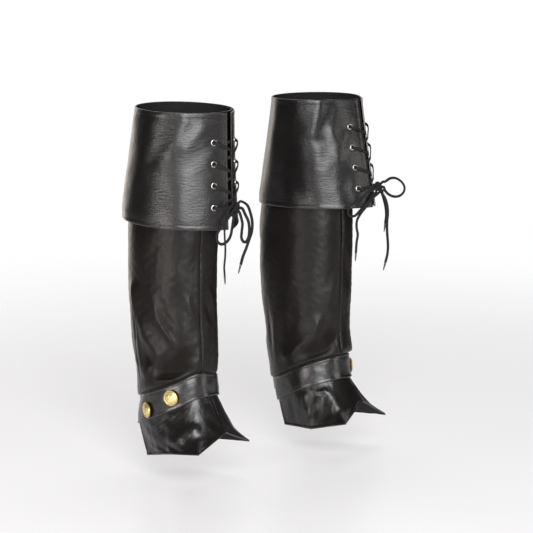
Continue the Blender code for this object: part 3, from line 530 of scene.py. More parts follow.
# Leathers: colour, (roughness, specular level), (coat, its roughness and refraction),
# (pebble size, depth), (crinkle size along the cloth, down it, depth)
LEATHERS = {
    "shaft_leather": ((0.0062, 0.0049, 0.0043), (0.45, 0.05), (0.90, 0.33, 1.28),
                      (0.0011, 0.00008), (0.016, 0.011, 0.00010)),
    "cuff_leather": ((0.0050, 0.0042, 0.0040), (0.45, 0.12), (0.84, 0.26, 1.55),
                     (0.0012, 0.00010), (0.011, 0.0026, 0.00038)),
    "strap_leather": ((0.0052, 0.0043, 0.0040), (0.42, 0.06), (0.92, 0.21, 1.66),
                      (0.0012, 0.00009), (0.006, 0.0035, 0.00014)),
    "spat_leather": ((0.0052, 0.0043, 0.0040), (0.42, 0.10), (0.84, 0.25, 1.60),
                     (0.0012, 0.00009), (0.008, 0.0040, 0.00016)),
}
WORN_COLOUR = (0.040, 0.031, 0.026)
SHADED_FOLD_COAT = 0.12  # share of the coat left at the bottom of a fold, which paints shade there


def lerp(a, b, share):
    return a + (b - a) * share


def bell(distance, width):
    return np.exp(-(distance / width) ** 2)


def smooth_step(low, high, value):
    share = np.clip((value - low) / (high - low), 0.0, 1.0)
    return share * share * (3 - 2 * share)


def table_at(rows, where, smooth=True):
    """Other columns of a table at values of its first column, as one array a column."""
    table = np.array(sorted(rows), float)
    where = np.asarray(where, float)
    keys = table[:, 0]
    at = np.clip(np.searchsorted(keys, where, side="right") - 1, 0, len(keys) - 2)
    span = (keys[at + 1] - keys[at])[..., None]
    share = np.clip((where - keys[at])[..., None] / span, 0.0, 1.0)
    low, high = table[at, 1:], table[at + 1, 1:]
    if not smooth:
        return np.moveaxis(lerp(low, high, share), -1, 0)
    before, after = np.maximum(at - 1, 0), np.minimum(at + 2, len(keys) - 1)
    slope_low = (high - table[before, 1:]) / (keys[at + 1] - keys[before])[..., None] * span
    slope_high = (table[after, 1:] - low) / (keys[after] - keys[at])[..., None] * span
    s2, s3 = share ** 2, share ** 3
    result = ((2 * s3 - 3 * s2 + 1) * low + (s3 - 2 * s2 + share) * slope_low
              + (3 * s2 - 2 * s3) * high + (s3 - s2) * slope_high)
    return np.moveaxis(result, -1, 0)


def oval(half_outer, half_inner, front, back, angle):
    """Forward and outward place of an angle on an egg-shaped section."""
    turn = np.radians(angle)
    half = np.where(np.sin(turn) >= 0, half_outer, half_inner)
    return (front - back) / 2 + (front + back) / 2 * np.cos(turn), half * np.sin(turn)


def to_world(leg, forward, outward, height):
    """World points of places on a leg."""
    turn = math.radians(leg["toe_out"])
    side = leg["side"]
    spot_x, spot_y = np.divide(leg["spot"], MM)
    x = spot_x + side * (forward * math.sin(turn) + outward * math.cos(turn))
    y = spot_y - forward * math.cos(turn) + outward * math.sin(turn)
    return np.stack(np.broadcast_arrays(x, y, height - HELD_HEIGHT), -1)


def fold_push(folds, angle, height, ends=1.0):
    """Push outwards of all the folds at places on a tube, each with less at its two ends."""
    total = np.zeros(np.broadcast(angle, height).shape)
    metres_per_degree = math.radians(FOLD_RADIUS)
    for path, push, half_width in folds:
        nearest = np.ones_like(total)
        place = np.zeros_like(total)
        steps = [((a1 - a0) * metres_per_degree, (h1 - h0) / MM)
                 for (a0, h0), (a1, h1) in zip(path, path[1:])]
        whole = sum(math.hypot(*step) for step in steps)
        run = 0.0
        for (a0, h0), (dx, dy) in zip(path, steps):
            x0 = ((angle - a0 + 180) % 360 - 180) * metres_per_degree
            y0 = height - h0 / MM
            step = math.hypot(dx, dy)
            along = np.clip((x0 * dx + y0 * dy) / step ** 2, 0.0, 1.0)
            gap = np.hypot(x0 - along * dx, y0 - along * dy)
            place = np.where(gap < nearest, (run + along * step) / whole, place)
            nearest = np.minimum(nearest, gap)
            run += step
        strength = lerp(ends, 1.0, smooth_step(0.0, FOLD_GROWTH, np.minimum(place, 1 - place)))
        total += push / MM * strength * bell(nearest * MM, half_width)
    return total


def waver(kind, along, down, other):
    """Soft unevenness with hollows about one size apart."""
    depth, size, seed = UNEVEN[kind]
    random = np.random.default_rng(seed + other)
    total = 0.0
    for _ in range(8):
        turn, phase = random.uniform(0, math.tau, 2)
        rate = math.tau / size * random.uniform(0.6, 1.5)
        total = total + np.sin(rate * (along * math.cos(turn) + down * math.sin(turn)) + phase)
    return depth * (total / 4)


def pushed(form, angle, push):
    """Forward and outward place on a form, moved out along its normal."""
    forward, outward = form(angle)
    ahead, behind = form(angle + 0.5), form(angle - 0.5)
    run_f, run_o = ahead[0] - behind[0], ahead[1] - behind[1]
    size = np.hypot(run_f, run_o)
    return forward + push * run_o / size, outward - push * run_f / size


def shaft_place(leg, angle, height, push=0.0):
    row = table_at(leg["shaft"], height * MM) / MM
    forward, outward = pushed(lambda turn: oval(*row, turn), angle, push)
    return forward, outward, height


def strap_band(leg, angle):
    """Rise of the strap's middle line, and added half width, at an angle."""
    return table_at(leg["band"], (np.asarray(angle, float) + 180) % 360 - 180) / MM


def strap_height(leg, angle):
    """Height of the strap's middle line at an angle, on its tilted plane but for its rise."""
    middle, slope = leg["strap"]
    base = middle / MM + strap_band(leg, angle)[0]
    height = np.full(np.shape(angle), middle / MM)
    for _ in range(6):
        height = base + slope * shaft_place(leg, angle, height)[0]
    return height


def strap_edge(leg, angle):
    """Height of the strap's edges above and below its middle line at an angle."""
    return STRAP_WIDTH / 2 / math.cos(math.atan(leg["strap"][1])) + strap_band(leg, angle)[1]


def cuff_place(leg, angle, share, push=0.0):
    """Forward, outward and height on the cuff's outer face, moved out by push."""
    outer, inner, front, back, keel = table_at(leg["cuff"], share) / MM

    def form(turn):
        forward, outward = oval(outer, inner, front, back, turn)
        reach = np.maximum(0.0, 1 - np.abs(outward) / KEEL_REACH) ** 1.5
        return np.where(np.cos(np.radians(turn)) > 0, forward + keel * reach, forward), outward

    middle = form(angle)[0]
    forward, outward = pushed(form, angle, push)
    rim_middle, rim_slope = leg["rim"]
    hem_middle, hem_slope = leg["cuff_hem"]
    top = rim_middle / MM + rim_slope * middle
    bottom = hem_middle / MM + hem_slope * middle
    return forward, outward, lerp(top, bottom, share)


def cuff_depth(leg):
    return float(cuff_place(leg, 0.0, 0.0)[2] - cuff_place(leg, 0.0, 1.0)[2])


def grid_normals(grid, side):
    normals = np.cross(np.gradient(grid, axis=1), -np.gradient(grid, axis=0)) * side
    return normals / np.linalg.norm(normals, axis=-1, keepdims=True)


def edge_distances(grid):
    """Distance of each grid point from the top, bottom, first and last edge."""
    down = np.linalg.norm(np.diff(grid, axis=0), axis=-1)
    across = np.linalg.norm(np.diff(grid, axis=1), axis=-1)
    top = np.pad(np.cumsum(down, axis=0), ((1, 0), (0, 0)))
    first = np.pad(np.cumsum(across, axis=1), ((0, 0), (1, 0)))
    return {"top": top, "bottom": top[-1] - top, "first": first, "last": first[:, -1:] - first}


def edge_steps(length, step, near=(0.0005, 0.0013)):
    """Shares of a length, about one step apart and closer at both ends."""
    count = max(2, round((length - 2 * near[-1]) / step))
    inside = np.linspace(near[-1], length - near[-1], count + 1)
    ends = [length - n for n in near[-2::-1]]
    return np.array([0.0, *near[:-1], *inside, *ends, length]) / length


def hem_relief(distance, inset):
    """Doubled hem out to its row of stitches, which draws in a groove."""
    band = HEM_RISE * (1 - smooth_step(inset - GROOVE_WIDTH, inset + GROOVE_WIDTH, distance))
    return band - STITCH_GROOVE * bell(distance - inset, GROOVE_WIDTH)


def seam_relief(kind, distance):
    """Groove along a seam and the ridge of its allowance beside it."""
    depth, half_width, beside, height, ridge_width = SEAMS[kind]
    return height * bell(distance - beside, ridge_width) - depth * bell(distance, half_width)


def edge_round(distance, depth=0.0005, reach=0.0012):
    return -depth * np.clip(1 - distance / reach, 0.0, 1.0) ** 2


def finish_piece(piece, nodes=()):
    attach(piece, ROOT)
    if nodes:
        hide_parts(*nodes)
    return piece


def mesh_piece(name, points, faces, materials, cloth=None, wear_and_shade=None, second=None, sharp=50):
    """Mesh object with the cloth's own coordinates, and its wear and the painted shade of its folds, as
    attributes.
    """
    mesh = bpy.data.meshes.new(name)
    mesh.from_pydata(points.reshape(-1, 3).tolist(), [], [list(f) for f in faces])
    layers = (("cloth", "FLOAT_VECTOR", "vector", cloth), ("wear_and_shade", "FLOAT", "value", wear_and_shade))
    for layer, kind, field, values in layers:
        if values is not None:
            data = mesh.attributes.new(layer, kind, "POINT").data
            data.foreach_set(field, np.ascontiguousarray(values, np.float32).ravel())
    for material in materials:
        mesh.materials.append(material)
    if second is not None:
        mesh.polygons.foreach_set("material_index", second)
    mesh.shade_smooth()
    mesh.set_sharp_from_angle(angle=math.radians(sharp))
    piece = bpy.data.objects.new(name, mesh)
    bpy.context.scene.collection.objects.link(piece)
    return piece


def shell_piece(name, outer, inner, side, materials, cloth, wear_and_shade, keep=None):
    """Closed thin shell between two grids of the same size, with holes where keep is false."""
    rows, columns = outer.shape[:2]
    if keep is None:
        keep = np.ones((rows - 1, columns - 1), bool)
    count = rows * columns
    index = np.arange(count).reshape(rows, columns)
    a, b, c, d = index[:-1, :-1], index[1:, :-1], index[1:, 1:], index[:-1, 1:]
    padded = np.pad(keep, 1)
    walls = [np.stack((a, b, c, d), -1)[keep]]
    walls += [
        np.stack((p, q, q2, p2), -1)[keep & ~beyond]
        for p, q, q2, p2, beyond in (
            (a, d, d + count, a + count, padded[:-2, 1:-1]),
            (c, b, b + count, c + count, padded[2:, 1:-1]),
            (b, a, a + count, b + count, padded[1:-1, :-2]),
            (d, c, c + count, d + count, padded[1:-1, 2:]),
        )
    ]
    shown = sum(len(w) for w in walls)
    faces = np.concatenate(walls + [np.stack((d, c, b, a), -1)[keep] + count])
    if side < 0:
        faces = faces[:, ::-1]
    points = np.concatenate((outer.reshape(-1, 3), inner.reshape(-1, 3)))
    used = np.unique(faces)
    fresh = np.zeros(len(points), int)
    fresh[used] = np.arange(len(used))
    second = np.zeros(len(faces), np.int32)
    second[shown:] = 1
    cloth_twice = np.concatenate((cloth.reshape(-1, 3), cloth.reshape(-1, 3)))[used]
    wear_and_shade_twice = np.concatenate((wear_and_shade.ravel(), wear_and_shade.ravel()))[used]
    return mesh_piece(name, points[used], fresh[faces], materials, cloth_twice, wear_and_shade_twice, second)


def line_length(points):
    return float(np.linalg.norm(np.diff(points, axis=0), axis=1).sum())


def along_line(points, stops):
    """Points, each at a distance along a line."""
    run = np.concatenate(([0.0], np.cumsum(np.linalg.norm(np.diff(points, axis=0), axis=1))))
    return np.stack([np.interp(stops, run, points[:, k]) for k in range(points.shape[1])], -1)


def inset_line(grid, normals, distances, edge, inset):
    """Points and normals on a grid along a line that lies one inset in from an edge."""
    distance = distances[edge]
    values = np.concatenate((grid, normals), -1)
    if edge in ("first", "last"):
        distance, values = distance.T, np.swapaxes(values, 0, 1)
    if edge in ("bottom", "last"):
        distance, values = distance[::-1], values[::-1]
    line = []
    for column in range(distance.shape[1]):
        line.append([np.interp(inset, distance[:, column], values[:, column, k]) for k in range(6)])
    return np.array(line)


def ring_faces(rings, sides, first=0, closed=False):
    """Quads between rings of points, and two end caps where the rings don't close."""
    faces = []
    for ring in range(rings if closed else rings - 1):
        here, after = first + ring * sides, first + (ring + 1) % rings * sides
        for k in range(sides):
            beside = (k + 1) % sides
            faces.append((here + k, here + beside, after + beside, after + k))
    if not closed:
        last = first + (rings - 1) * sides
        faces += [tuple(range(first, first + sides))[::-1], tuple(range(last, last + sides))]
    return faces


def stitch_piece(name, lines, material):
    """Rows of sewn stitches as one piece: each a short thread whose ends dive in."""
    points, faces, cloth = [], [], []
    for line, start, end in lines:
        total = line_length(line[:, :3])
        pitch = STITCH_LENGTH + STITCH_GAP
        count = max(1, int((total - start - end) / pitch))
        stops = start + (np.arange(count) + 0.5) * (total - start - end) / count
        ends = [along_line(line, stops + share * STITCH_LENGTH) for share in (-0.5, 0.5)]
        for low, high in zip(*ends):
            middle = (low[:3] + high[:3]) / 2
            run = high[:3] - low[:3]
            out = (low[3:] + high[3:]) / 2
            out /= np.linalg.norm(out)
            wide = np.cross(run, out)
            wide /= np.linalg.norm(wide)
            base = len(points)
            for where, size, lift in STITCH_RINGS:
                for k in range(STITCH_SIDES):
                    turn = math.tau * k / STITCH_SIDES
                    reach = wide * math.cos(turn) + out * math.sin(turn)
                    points.append(middle + run * where + (out * lift + reach * size) * THREAD_RADIUS)
                    cloth.append((where * STITCH_LENGTH, turn * THREAD_RADIUS, 0.0))
            faces += ring_faces(len(STITCH_RINGS), STITCH_SIDES, base)
    return mesh_piece(name, np.array(points), faces, [material], np.array(cloth))


# Materials

def set_inputs(tree, node, inputs):
    """Give a node's inputs values or sockets; i6 is input number 6, and _ is a space."""
    for name, value in inputs.items():
        numbered = name[0] == "i" and name[1:].isdigit()
        socket = node.inputs[int(name[1:])] if numbered else node.inputs[name.replace("_", " ")]
        if isinstance(value, bpy.types.NodeSocket):
            tree.links.new(value, socket)
        else:
            socket.default_value = value


def add_node(tree, kind, settings=(), **inputs):
    node = tree.nodes.new("ShaderNode" + kind)
    for field, value in dict(settings).items():
        setattr(node, field, value)
    set_inputs(tree, node, inputs)
    return node


def new_material(name):
    material = bpy.data.materials.new(name)
    material.use_nodes = True
    return material, material.node_tree


def finish_material(material, **inputs):
    tree = material.node_tree
    set_inputs(tree, tree.nodes["Principled BSDF"], inputs)
    return material


def attribute(tree, name, output):
    return add_node(tree, "Attribute", {"attribute_name": name}).outputs[output]


def scaled(tree, vector, size):
    """A vector with each part divided by a length."""
    parts = tuple(1 / s for s in size)
    return add_node(tree, "VectorMath", {"operation": "MULTIPLY"}, i0=vector, i1=parts).outputs[0]


def slanted(tree, vector, angle):
    around = {"rotation_type": "Z_AXIS"}
    return add_node(tree, "VectorRotate", around, Vector=vector, Angle=angle).outputs[0]


def noise(tree, place, size, detail, **more):
    """Noise whose lumps have a length each way."""
    return add_node(tree, "TexNoise", Vector=scaled(tree, place, size), Scale=1.0, Detail=detail,
                    **more).outputs["Fac"]


def waves(tree, place, length, settings=(), **more):
    return add_node(tree, "TexWave", settings, Vector=scaled(tree, place, (length,) * 3), Scale=1.0,
                    **more).outputs["Fac"]


def joined(tree, operation, one, other):
    return add_node(tree, "Math", {"operation": operation}, i0=one, i1=other).outputs[0]


def tinted(tree, share, low, high):
    """Colour between two, each a socket or red, green and blue."""
    low, high = (c if isinstance(c, bpy.types.NodeSocket) else (*c, 1) for c in (low, high))
    return add_node(tree, "Mix", {"data_type": "RGBA"}, Factor=share, i6=low, i7=high).outputs[2]


def ranged(tree, value, start, end, low, high):
    return add_node(tree, "MapRange", Value=value, From_Min=start, From_Max=end, To_Min=low,
                    To_Max=high).outputs[0]


def bumped(tree, height, distance, strength=1.0, **below):
    return add_node(tree, "Bump", Height=height, Distance=distance, Strength=strength, **below).outputs[0]


def leather(name):
    """Leather with pebbles, crinkles, paler worn edges, and painted shade in its folds as a thinner coat."""
    colour, (rough, level), (coat, coat_rough, coat_ior), (pebble, pebble_depth), crinkle = LEATHERS[name]
    along, down, crinkle_depth = crinkle
    material, tree = new_material(name)
    cloth, wear_and_shade = attribute(tree, "cloth", "Vector"), attribute(tree, "wear_and_shade", "Fac")
    mottle = noise(tree, cloth, (0.030, 0.030, 1), 3.0)
    creased = bumped(tree, noise(tree, cloth, (along, down, 1), 4.0, Roughness=0.62), crinkle_depth)
    grain = add_node(tree, "TexVoronoi", Vector=scaled(tree, cloth, (pebble,) * 3), Scale=1.0)
    normal = bumped(tree, grain.outputs["Distance"], pebble_depth, Normal=creased)
    tone = tinted(tree, mottle, colour, [c * 1.7 for c in colour])
    return finish_material(
        # Worn edges, where the attribute read above is over zero, get a paler base colour; folds, where it is
        # under zero, get a thinner coat as painted shade.
        material, Normal=normal, Coat_Normal=normal, Base_Color=tinted(tree, wear_and_shade, tone, WORN_COLOUR),
        Roughness=ranged(tree, mottle, 0.3, 0.7, rough - 0.05, rough + 0.07), Specular_IOR_Level=level,
        Coat_Weight=ranged(tree, wear_and_shade, -1.0, 0.0, coat * SHADED_FOLD_COAT, coat), Coat_Roughness=coat_rough,
        Coat_IOR=coat_ior)


def backing():
    """Plain dark woven back of the leather cloth."""
    material, tree = new_material("leather_back")
    cloth = attribute(tree, "cloth", "Vector")
    weft, warp = (waves(tree, cloth, 0.0045, {"bands_direction": way}) for way in "XY")
    weave = joined(tree, "MULTIPLY", weft, warp)
    tone = tinted(tree, weave, (0.016, 0.015, 0.015), (0.034, 0.032, 0.031))
    return finish_material(material, Base_Color=tone, Normal=bumped(tree, weave, 0.0001, 0.6),
                           Roughness=0.88, Specular_IOR_Level=0.2)


def braid():
    """Flat black braid: two sets of strands that cross on the slant."""
    material, tree = new_material("lace_cord")
    cloth = attribute(tree, "cloth", "Vector")
    one, other = (waves(tree, slanted(tree, cloth, turn), 0.0042, Distortion=0.4) for turn in (0.75, -0.75))
    strands = joined(tree, "MAXIMUM", one, other)
    fibre = bumped(tree, noise(tree, cloth, (0.0015, 0.0004, 1), 3.0), 0.00006, 0.6)
    tone = tinted(tree, strands, (0.004, 0.004, 0.004), (0.016, 0.0145, 0.014))
    return finish_material(material, Base_Color=tone, Roughness=0.78, Specular_IOR_Level=0.3,
                           Normal=bumped(tree, strands, 0.00025, 0.9, Normal=fibre))


def thread():
    material, tree = new_material("sewing_thread")
    twist = waves(tree, slanted(tree, attribute(tree, "cloth", "Vector"), 0.9), 0.0022)
    tone = tinted(tree, twist, (0.010, 0.009, 0.009), (0.040, 0.037, 0.034))
    return finish_material(material, Base_Color=tone, Roughness=0.6,
                           Normal=bumped(tree, twist, 0.00008, 0.8))


def metal(name, bright, dark, rough, metallic):
    """Metal that is darker in its hollows, which an attribute marks."""
    material, tree = new_material(name)
    place = add_node(tree, "TexCoord").outputs["Object"]
    spots = add_node(tree, "TexNoise", Vector=place, Scale=420.0, Detail=4.0).outputs["Fac"]
    marks = noise(tree, place, (0.0006, 0.004, 0.0011), 2.0)
    tone = tinted(tree, attribute(tree, "wear_and_shade", "Fac"), bright, dark)
    dirty = tinted(tree, ranged(tree, spots, 0.35, 0.75, 0.0, 0.35), tone, dark)
    return finish_material(material, Base_Color=dirty, Normal=bumped(tree, marks, 0.00004, 0.5),
                           Roughness=ranged(tree, marks, 0.3, 0.7, rough - 0.07, rough + 0.10),
                           Metallic=metallic)


def tip_plastic():
    material, tree = new_material("lace_tip")
    place = add_node(tree, "TexCoord").outputs["Object"]
    cloudy = add_node(tree, "TexNoise", Vector=place, Scale=500.0, Detail=3.0).outputs["Fac"]
    tone = tinted(tree, cloudy, (0.030, 0.028, 0.027), (0.075, 0.070, 0.066))
    return finish_material(material, Base_Color=tone, Normal=bumped(tree, cloudy, 0.00005, 0.5),
                           Roughness=0.3)


# Camera

def build_camera():
    data = bpy.data.cameras.new("camera")
    data.lens = CAMERA_LENS
    data.sensor_width = CAMERA_SENSOR
    data.clip_start, data.clip_end = 0.05, 60.0
    camera = bpy.data.objects.new("camera", data)
    camera.location = CAMERA_SPOT
    camera.rotation_euler = [math.radians(t) for t in CAMERA_TURN]
    bpy.context.scene.collection.objects.link(camera)
    bpy.context.scene.camera = camera


# Laces

def lace_point(leg, angle, drop, stand_off):
    return to_world(leg, *cuff_place(leg, angle * leg["spread"], drop / cuff_depth(leg), stand_off))


def knot_place(leg):
    return lace_point(leg, 0.0, EYELET_DROPS[-1] + KNOT_DROP, KNOT_STANDOFF)


def leg_way(leg, outward, forward, up):
    """World direction given as outward, forward and up on a leg."""
    middle = to_world(leg, 0.0, 0.0, HELD_HEIGHT)
    return to_world(leg, forward, outward, HELD_HEIGHT + up) - middle


def knot_leave(leg, direction, more):
    """Point off the knot by a little more, in a direction given as outward, forward, up."""
    outward, forward, up = np.array(direction) / np.linalg.norm(direction)
    wide, deep, tall = KNOT_SIZE
    reach = more + 1 / math.sqrt((outward / wide) ** 2 + (forward / deep) ** 2 + (up / tall) ** 2)
    return knot_place(leg) + leg_way(leg, outward, forward, up) * reach


def lace_route(leg, first_side):
    """Points of one half of the lace: the bar behind, three crossings, out to the knot."""
    points = [lace_point(leg, first_side * angle, EYELET_DROPS[0], off / MM) for angle, off in BAR]
    side = first_side
    for start, end in zip(EYELET_DROPS, EYELET_DROPS[1:]):
        column = 2 if side == leg["shallow_side"] else 1
        for row in CROSSING:
            points.append(lace_point(leg, side * row[0], lerp(start, end, row[column]), row[3] / MM))
        side = -side
    for angle, more, off in LAST:
        points.append(lace_point(leg, side * angle, EYELET_DROPS[-1] + more / MM, off / MM))
    outward, forward, up = LACE_LEAVES
    points.append(knot_leave(leg, (side * outward, forward, up), KNOT_GAP))
    return points


def smooth_points(points, step):
    """Points about one step apart on a smooth curve through the given ones."""
    padded = [2 * points[0] - points[1], *points, 2 * points[-1] - points[-2]]
    result = []
    for before, start, end, after in zip(padded, padded[1:], padded[2:], padded[3:]):
        count = max(1, round(float(np.linalg.norm(end - start)) / step))
        for index in range(count):
            s = index / count
            result.append(0.5 * (2 * start + (end - before) * s
                                 + (2 * before - 5 * start + 4 * end - after) * s ** 2
                                 + (3 * start - before - 3 * end + after) * s ** 3))
    result.append(points[-1])
    return np.array(result)


def tube_piece(name, points, width, thickness, material, upright, closed=False, taper=None):
    """Flattened tube along a route; its width stays upright or turns with the route."""
    runs = np.roll(points, -1, 0) - np.roll(points, 1, 0) if closed else np.gradient(points, axis=0)
    runs /= np.linalg.norm(runs, axis=1, keepdims=True)
    wide = np.cross(runs[0], (0.3, 0.9, 0.1))
    rings, cloth, along = [], [], 0.0
    for index, (point, run) in enumerate(zip(points, runs)):
        if upright:
            wide = np.array((0.0, 0.0, -1.0))
        wide = wide - run * float(wide @ run)
        wide /= np.linalg.norm(wide)
        deep = np.cross(run, wide)
        along += float(np.linalg.norm(point - points[index - 1])) if index else 0.0
        share = taper(index / (len(points) - 1)) if taper else 1.0
        for k in range(CORD_SIDES):
            turn = math.tau * k / CORD_SIDES
            across, out = math.cos(turn), math.sin(turn)
            flat = math.copysign(abs(out) ** CORD_FLATNESS, out)
            rings.append(point + (wide * across * width / 2 + deep * flat * thickness / 2) * share)
            cloth.append((along, turn * (width + thickness) / 4, 0.0))
    faces = ring_faces(len(points), CORD_SIDES, closed=closed)
    return mesh_piece(name, np.array(rings), faces, [material], np.array(cloth))


def tip_piece(name, start, direction, material):
    """Crimped taper beyond the end of a tail."""
    turn = Vector(direction).to_track_quat("Z", "Y").to_matrix()
    points = []
    for along, size in TIP_PROFILE:
        radius = max(TIP_RADIUS * size, TIP_POINT_RADIUS * 0.7)
        for k in range(TIP_SIDES):
            angle = math.tau * k / TIP_SIDES
            ring = Vector((radius * math.cos(angle), radius * math.sin(angle), along))
            points.append(start + np.array(turn @ ring))
    return mesh_piece(name, np.array(points), ring_faces(len(TIP_PROFILE), TIP_SIDES), [material])


def build_cords(leg, cords, looks):
    """Bow loops and tails, the first pieces to be made."""
    for word, (length, leave, places, enter) in cords.items():
        route = [knot_leave(leg, leave, KNOT_GAP), knot_leave(leg, leave, KNOT_GAP + KNOT_RUN)]
        route += [to_world(leg, *np.divide(place, MM)) for place in places]
        if enter:
            route += [knot_leave(leg, enter, KNOT_GAP + KNOT_RUN), knot_leave(leg, enter, KNOT_GAP)]
        points = smooth_points(route, LACE_STEP)
        node = leg["name"] + "_" + word
        piece = tube_piece(node + "_braid", points, BRAID_WIDTH, BRAID_THICKNESS, looks["lace_cord"], False)
        finish_piece(piece, [node])
        if not enter:
            direction = points[-1] - points[-2]
            direction /= np.linalg.norm(direction)
            tip_node = leg["name"] + "_tip_" + word[5:]
            tip = tip_piece(tip_node + "_cap", points[-1] + direction * GAP, direction, looks["lace_tip"])
            finish_piece(tip, [tip_node])


def build_lacing(leg, looks):
    """Criss-cross lace and the bow's knot: a core with two bands wrapped round it."""
    for side, word in ((1, "outer"), (-1, "inner")):
        node = leg["name"] + "_lacing_" + word
        points = smooth_points(lace_route(leg, side), LACE_STEP)
        piece = tube_piece(node + "_braid", points, BRAID_WIDTH, LACE_THICKNESS, looks["lace_cord"], True)
        finish_piece(piece, [node])
    middle = knot_place(leg)
    wide, deep, tall = KNOT_SIZE
    out, ahead, up = leg_way(leg, 1, 0, 0), leg_way(leg, 0, 1, 0), leg_way(leg, 0, 0, 1)
    turns = np.linspace(0, math.tau, 40, endpoint=False)[:, None]
    node = leg["name"] + "_knot"
    core = middle + out * np.linspace(-0.85, 0.85, 25)[:, None] * wide
    piece = tube_piece(node + "_core", core, deep * 1.5, tall * 1.5, looks["lace_cord"], False,
                       taper=lambda s: math.sqrt(max(0.06, 1 - (1.9 * s - 0.95) ** 2)))
    finish_piece(piece, [node])
    for number, (lean, shift, size) in enumerate(KNOT_BANDS, start=1):
        ring = (middle + out * shift + (ahead * np.cos(turns) * deep + up * np.sin(turns) * tall) * size
                + out * np.sin(turns) * lean * wide * 0.8)
        band = tube_piece(node + "_band_" + str(number), ring, BRAID_WIDTH, LACE_THICKNESS,
                          looks["lace_cord"], False, closed=True)
        finish_piece(band)


# Leather panels

def sheet_piece(leg, node_word, outer, inner, look, looks, distances, wear_and_shade, rows=(), keep=None):
    node = leg["name"] + "_" + node_word
    cloth = np.stack((distances["first"], distances["top"], np.zeros_like(distances["top"])), -1)
    cloth[..., 0] += CLOTH_SHIFT * (len(node) % 5)
    piece = shell_piece(node + "_cloth", outer, inner, leg["side"], [looks[look], looks["leather_back"]],
                        cloth, wear_and_shade, keep)
    finish_piece(piece, [node])
    if rows:
        normals = grid_normals(outer, leg["side"])
        lines = [(inset_line(outer, normals, distances, edge, inset), start, end)
                 for edge, inset, start, end in rows]
        stitches = stitch_piece(node + "_stitches", lines, looks["sewing_thread"])
        finish_piece(stitches)


def edge_wear(distances, edges, reach=0.0016):
    wear_and_shade = np.zeros_like(distances["top"])
    for edge in edges:
        wear_and_shade = np.maximum(wear_and_shade, np.clip(1 - distances[edge] / reach, 0.0, 1.0))
    return wear_and_shade * 0.8


def hollows(push, deep):
    """Painted shade of a fold: how deep it lies below the cloth round it, as a share of deep and at most 1.
    """
    return np.clip(-push / deep, 0.0, 1.0)


def build_cuff(leg, looks):
    """Flared band, open down its front, hemmed all round, with holes for the eyelets."""
    depth = cuff_depth(leg)
    slit = math.degrees(math.asin(SLIT_HALF * MM / leg["cuff"][1][1]))
    shares = edge_steps(depth, CUFF_STEPS[0])
    angles = slit + (360 - 2 * slit) * edge_steps(CUFF_ROUND, CUFF_STEPS[1])
    angle, share = np.meshgrid(angles, shares)
    drop = share * depth
    dents = fold_push(leg["dents"], angle, drop)
    dents += waver("cuff_dents", angle * CUFF_ARC, drop, leg["side"])
    base = to_world(leg, *cuff_place(leg, angle, share, dents))
    distances = edge_distances(base)
    relief = (hem_relief(distances["top"], RIM_STITCH) + hem_relief(distances["bottom"], HEM_STITCH)
              + hem_relief(np.minimum(distances["first"], distances["last"]), SLIT_STITCH)
              + waver("cuff_grain", angle * 0.0004, drop * 1.6, leg["side"]))
    keep = np.ones((len(shares) - 1, len(angles) - 1), bool)
    middles = (base[:-1, :-1] + base[1:, 1:]) / 2
    for side in (1, -1):
        for eyelet_drop in EYELET_DROPS:
            spot = lace_point(leg, side * EYELET_ANGLE, eyelet_drop, 0.0)
            keep &= np.linalg.norm(middles - spot, axis=-1) > EYELET_HOLE + 0.0001
            relief = relief - EYELET_DENT[0] * bell(np.linalg.norm(base - spot, axis=-1), EYELET_DENT[1])
    for edge in distances:
        relief = relief + edge_round(distances[edge])
    normals = grid_normals(base, leg["side"])
    outer = base + normals * relief[..., None]
    inner = base - normals * (CUFF_WALL + 0.4 * (relief - relief.mean()))[..., None]
    # Worn edges, less the painted shade in the cuff's dents
    wear_and_shade = edge_wear(distances, distances) - hollows(dents, CUFF_SHADE_DEPTH)
    rows = (("top", RIM_STITCH, 0.004, 0.004), ("bottom", HEM_STITCH, 0.004, 0.004),
            ("first", SLIT_STITCH, RIM_STITCH, HEM_STITCH), ("last", SLIT_STITCH, RIM_STITCH, HEM_STITCH))
    sheet_piece(leg, "cuff", outer, inner, "cuff_leather", looks, distances, wear_and_shade,
                rows, keep)
    return angle, share, outer


def shaft_grid(leg, angles):
    """Points of the leg tube on columns of angles, with its bag and all its folds, and the painted shade of
    those folds.
    """
    top = leg["rim"][0] / MM - SHAFT_DROP
    middle = strap_height(leg, angles)
    rise = strap_edge(leg, angles)
    bag_top = middle + rise + BAG_ROWS[0][0]
    knots = [(index, lift, push) for index, (lift, push) in enumerate(BAG_ROWS)]
    lift, push = (column[:, None] for column in table_at(knots, np.linspace(0, len(knots) - 1, BAG_LINES)))
    upper = np.linspace(0.0, 1.0, SHAFT_ROWS)[:-1, None]
    hidden = np.linspace(0.0, 1.0, HIDDEN_ROWS)[:, None]
    heights = np.vstack((lerp(top, bag_top, upper), middle + rise + lift,
                         middle + lerp(rise, SHAFT_TUCK, hidden)))
    pushes, fade = np.zeros_like(heights), np.ones_like(heights)
    bag = slice(len(upper), -len(hidden))
    pushes[bag] = push * table_at(leg["bag"], angles % 360)[0]
    fade[bag] = np.where(lift < BAG_ROWS[5][0], np.clip(push / BAG_ROWS[2][1], 0.0, 1.0), 1.0)
    fade[bag.stop:] = 0.0
    angle = np.repeat(angles[None, :], len(heights), 0)
    folds = fold_push(leg["folds"], angle, heights) + fold_push(leg["creases"], angle, heights, CREASE_ENDS)
    folds += waver("shaft_folds", angle * SHAFT_ARC, heights * 0.8, leg["side"])
    folds += waver("shaft_grain", angle * SHAFT_ARC, heights, leg["side"])
    total = pushes + folds * fade
    total = np.maximum(total, -SHAFT_DEEPEST * smooth_step(-BAG_BLEND, BAG_BLEND, heights - bag_top))
    return to_world(leg, *shaft_place(leg, angle, heights, total)), hollows(folds * fade, SHAFT_SHADE_DEPTH)


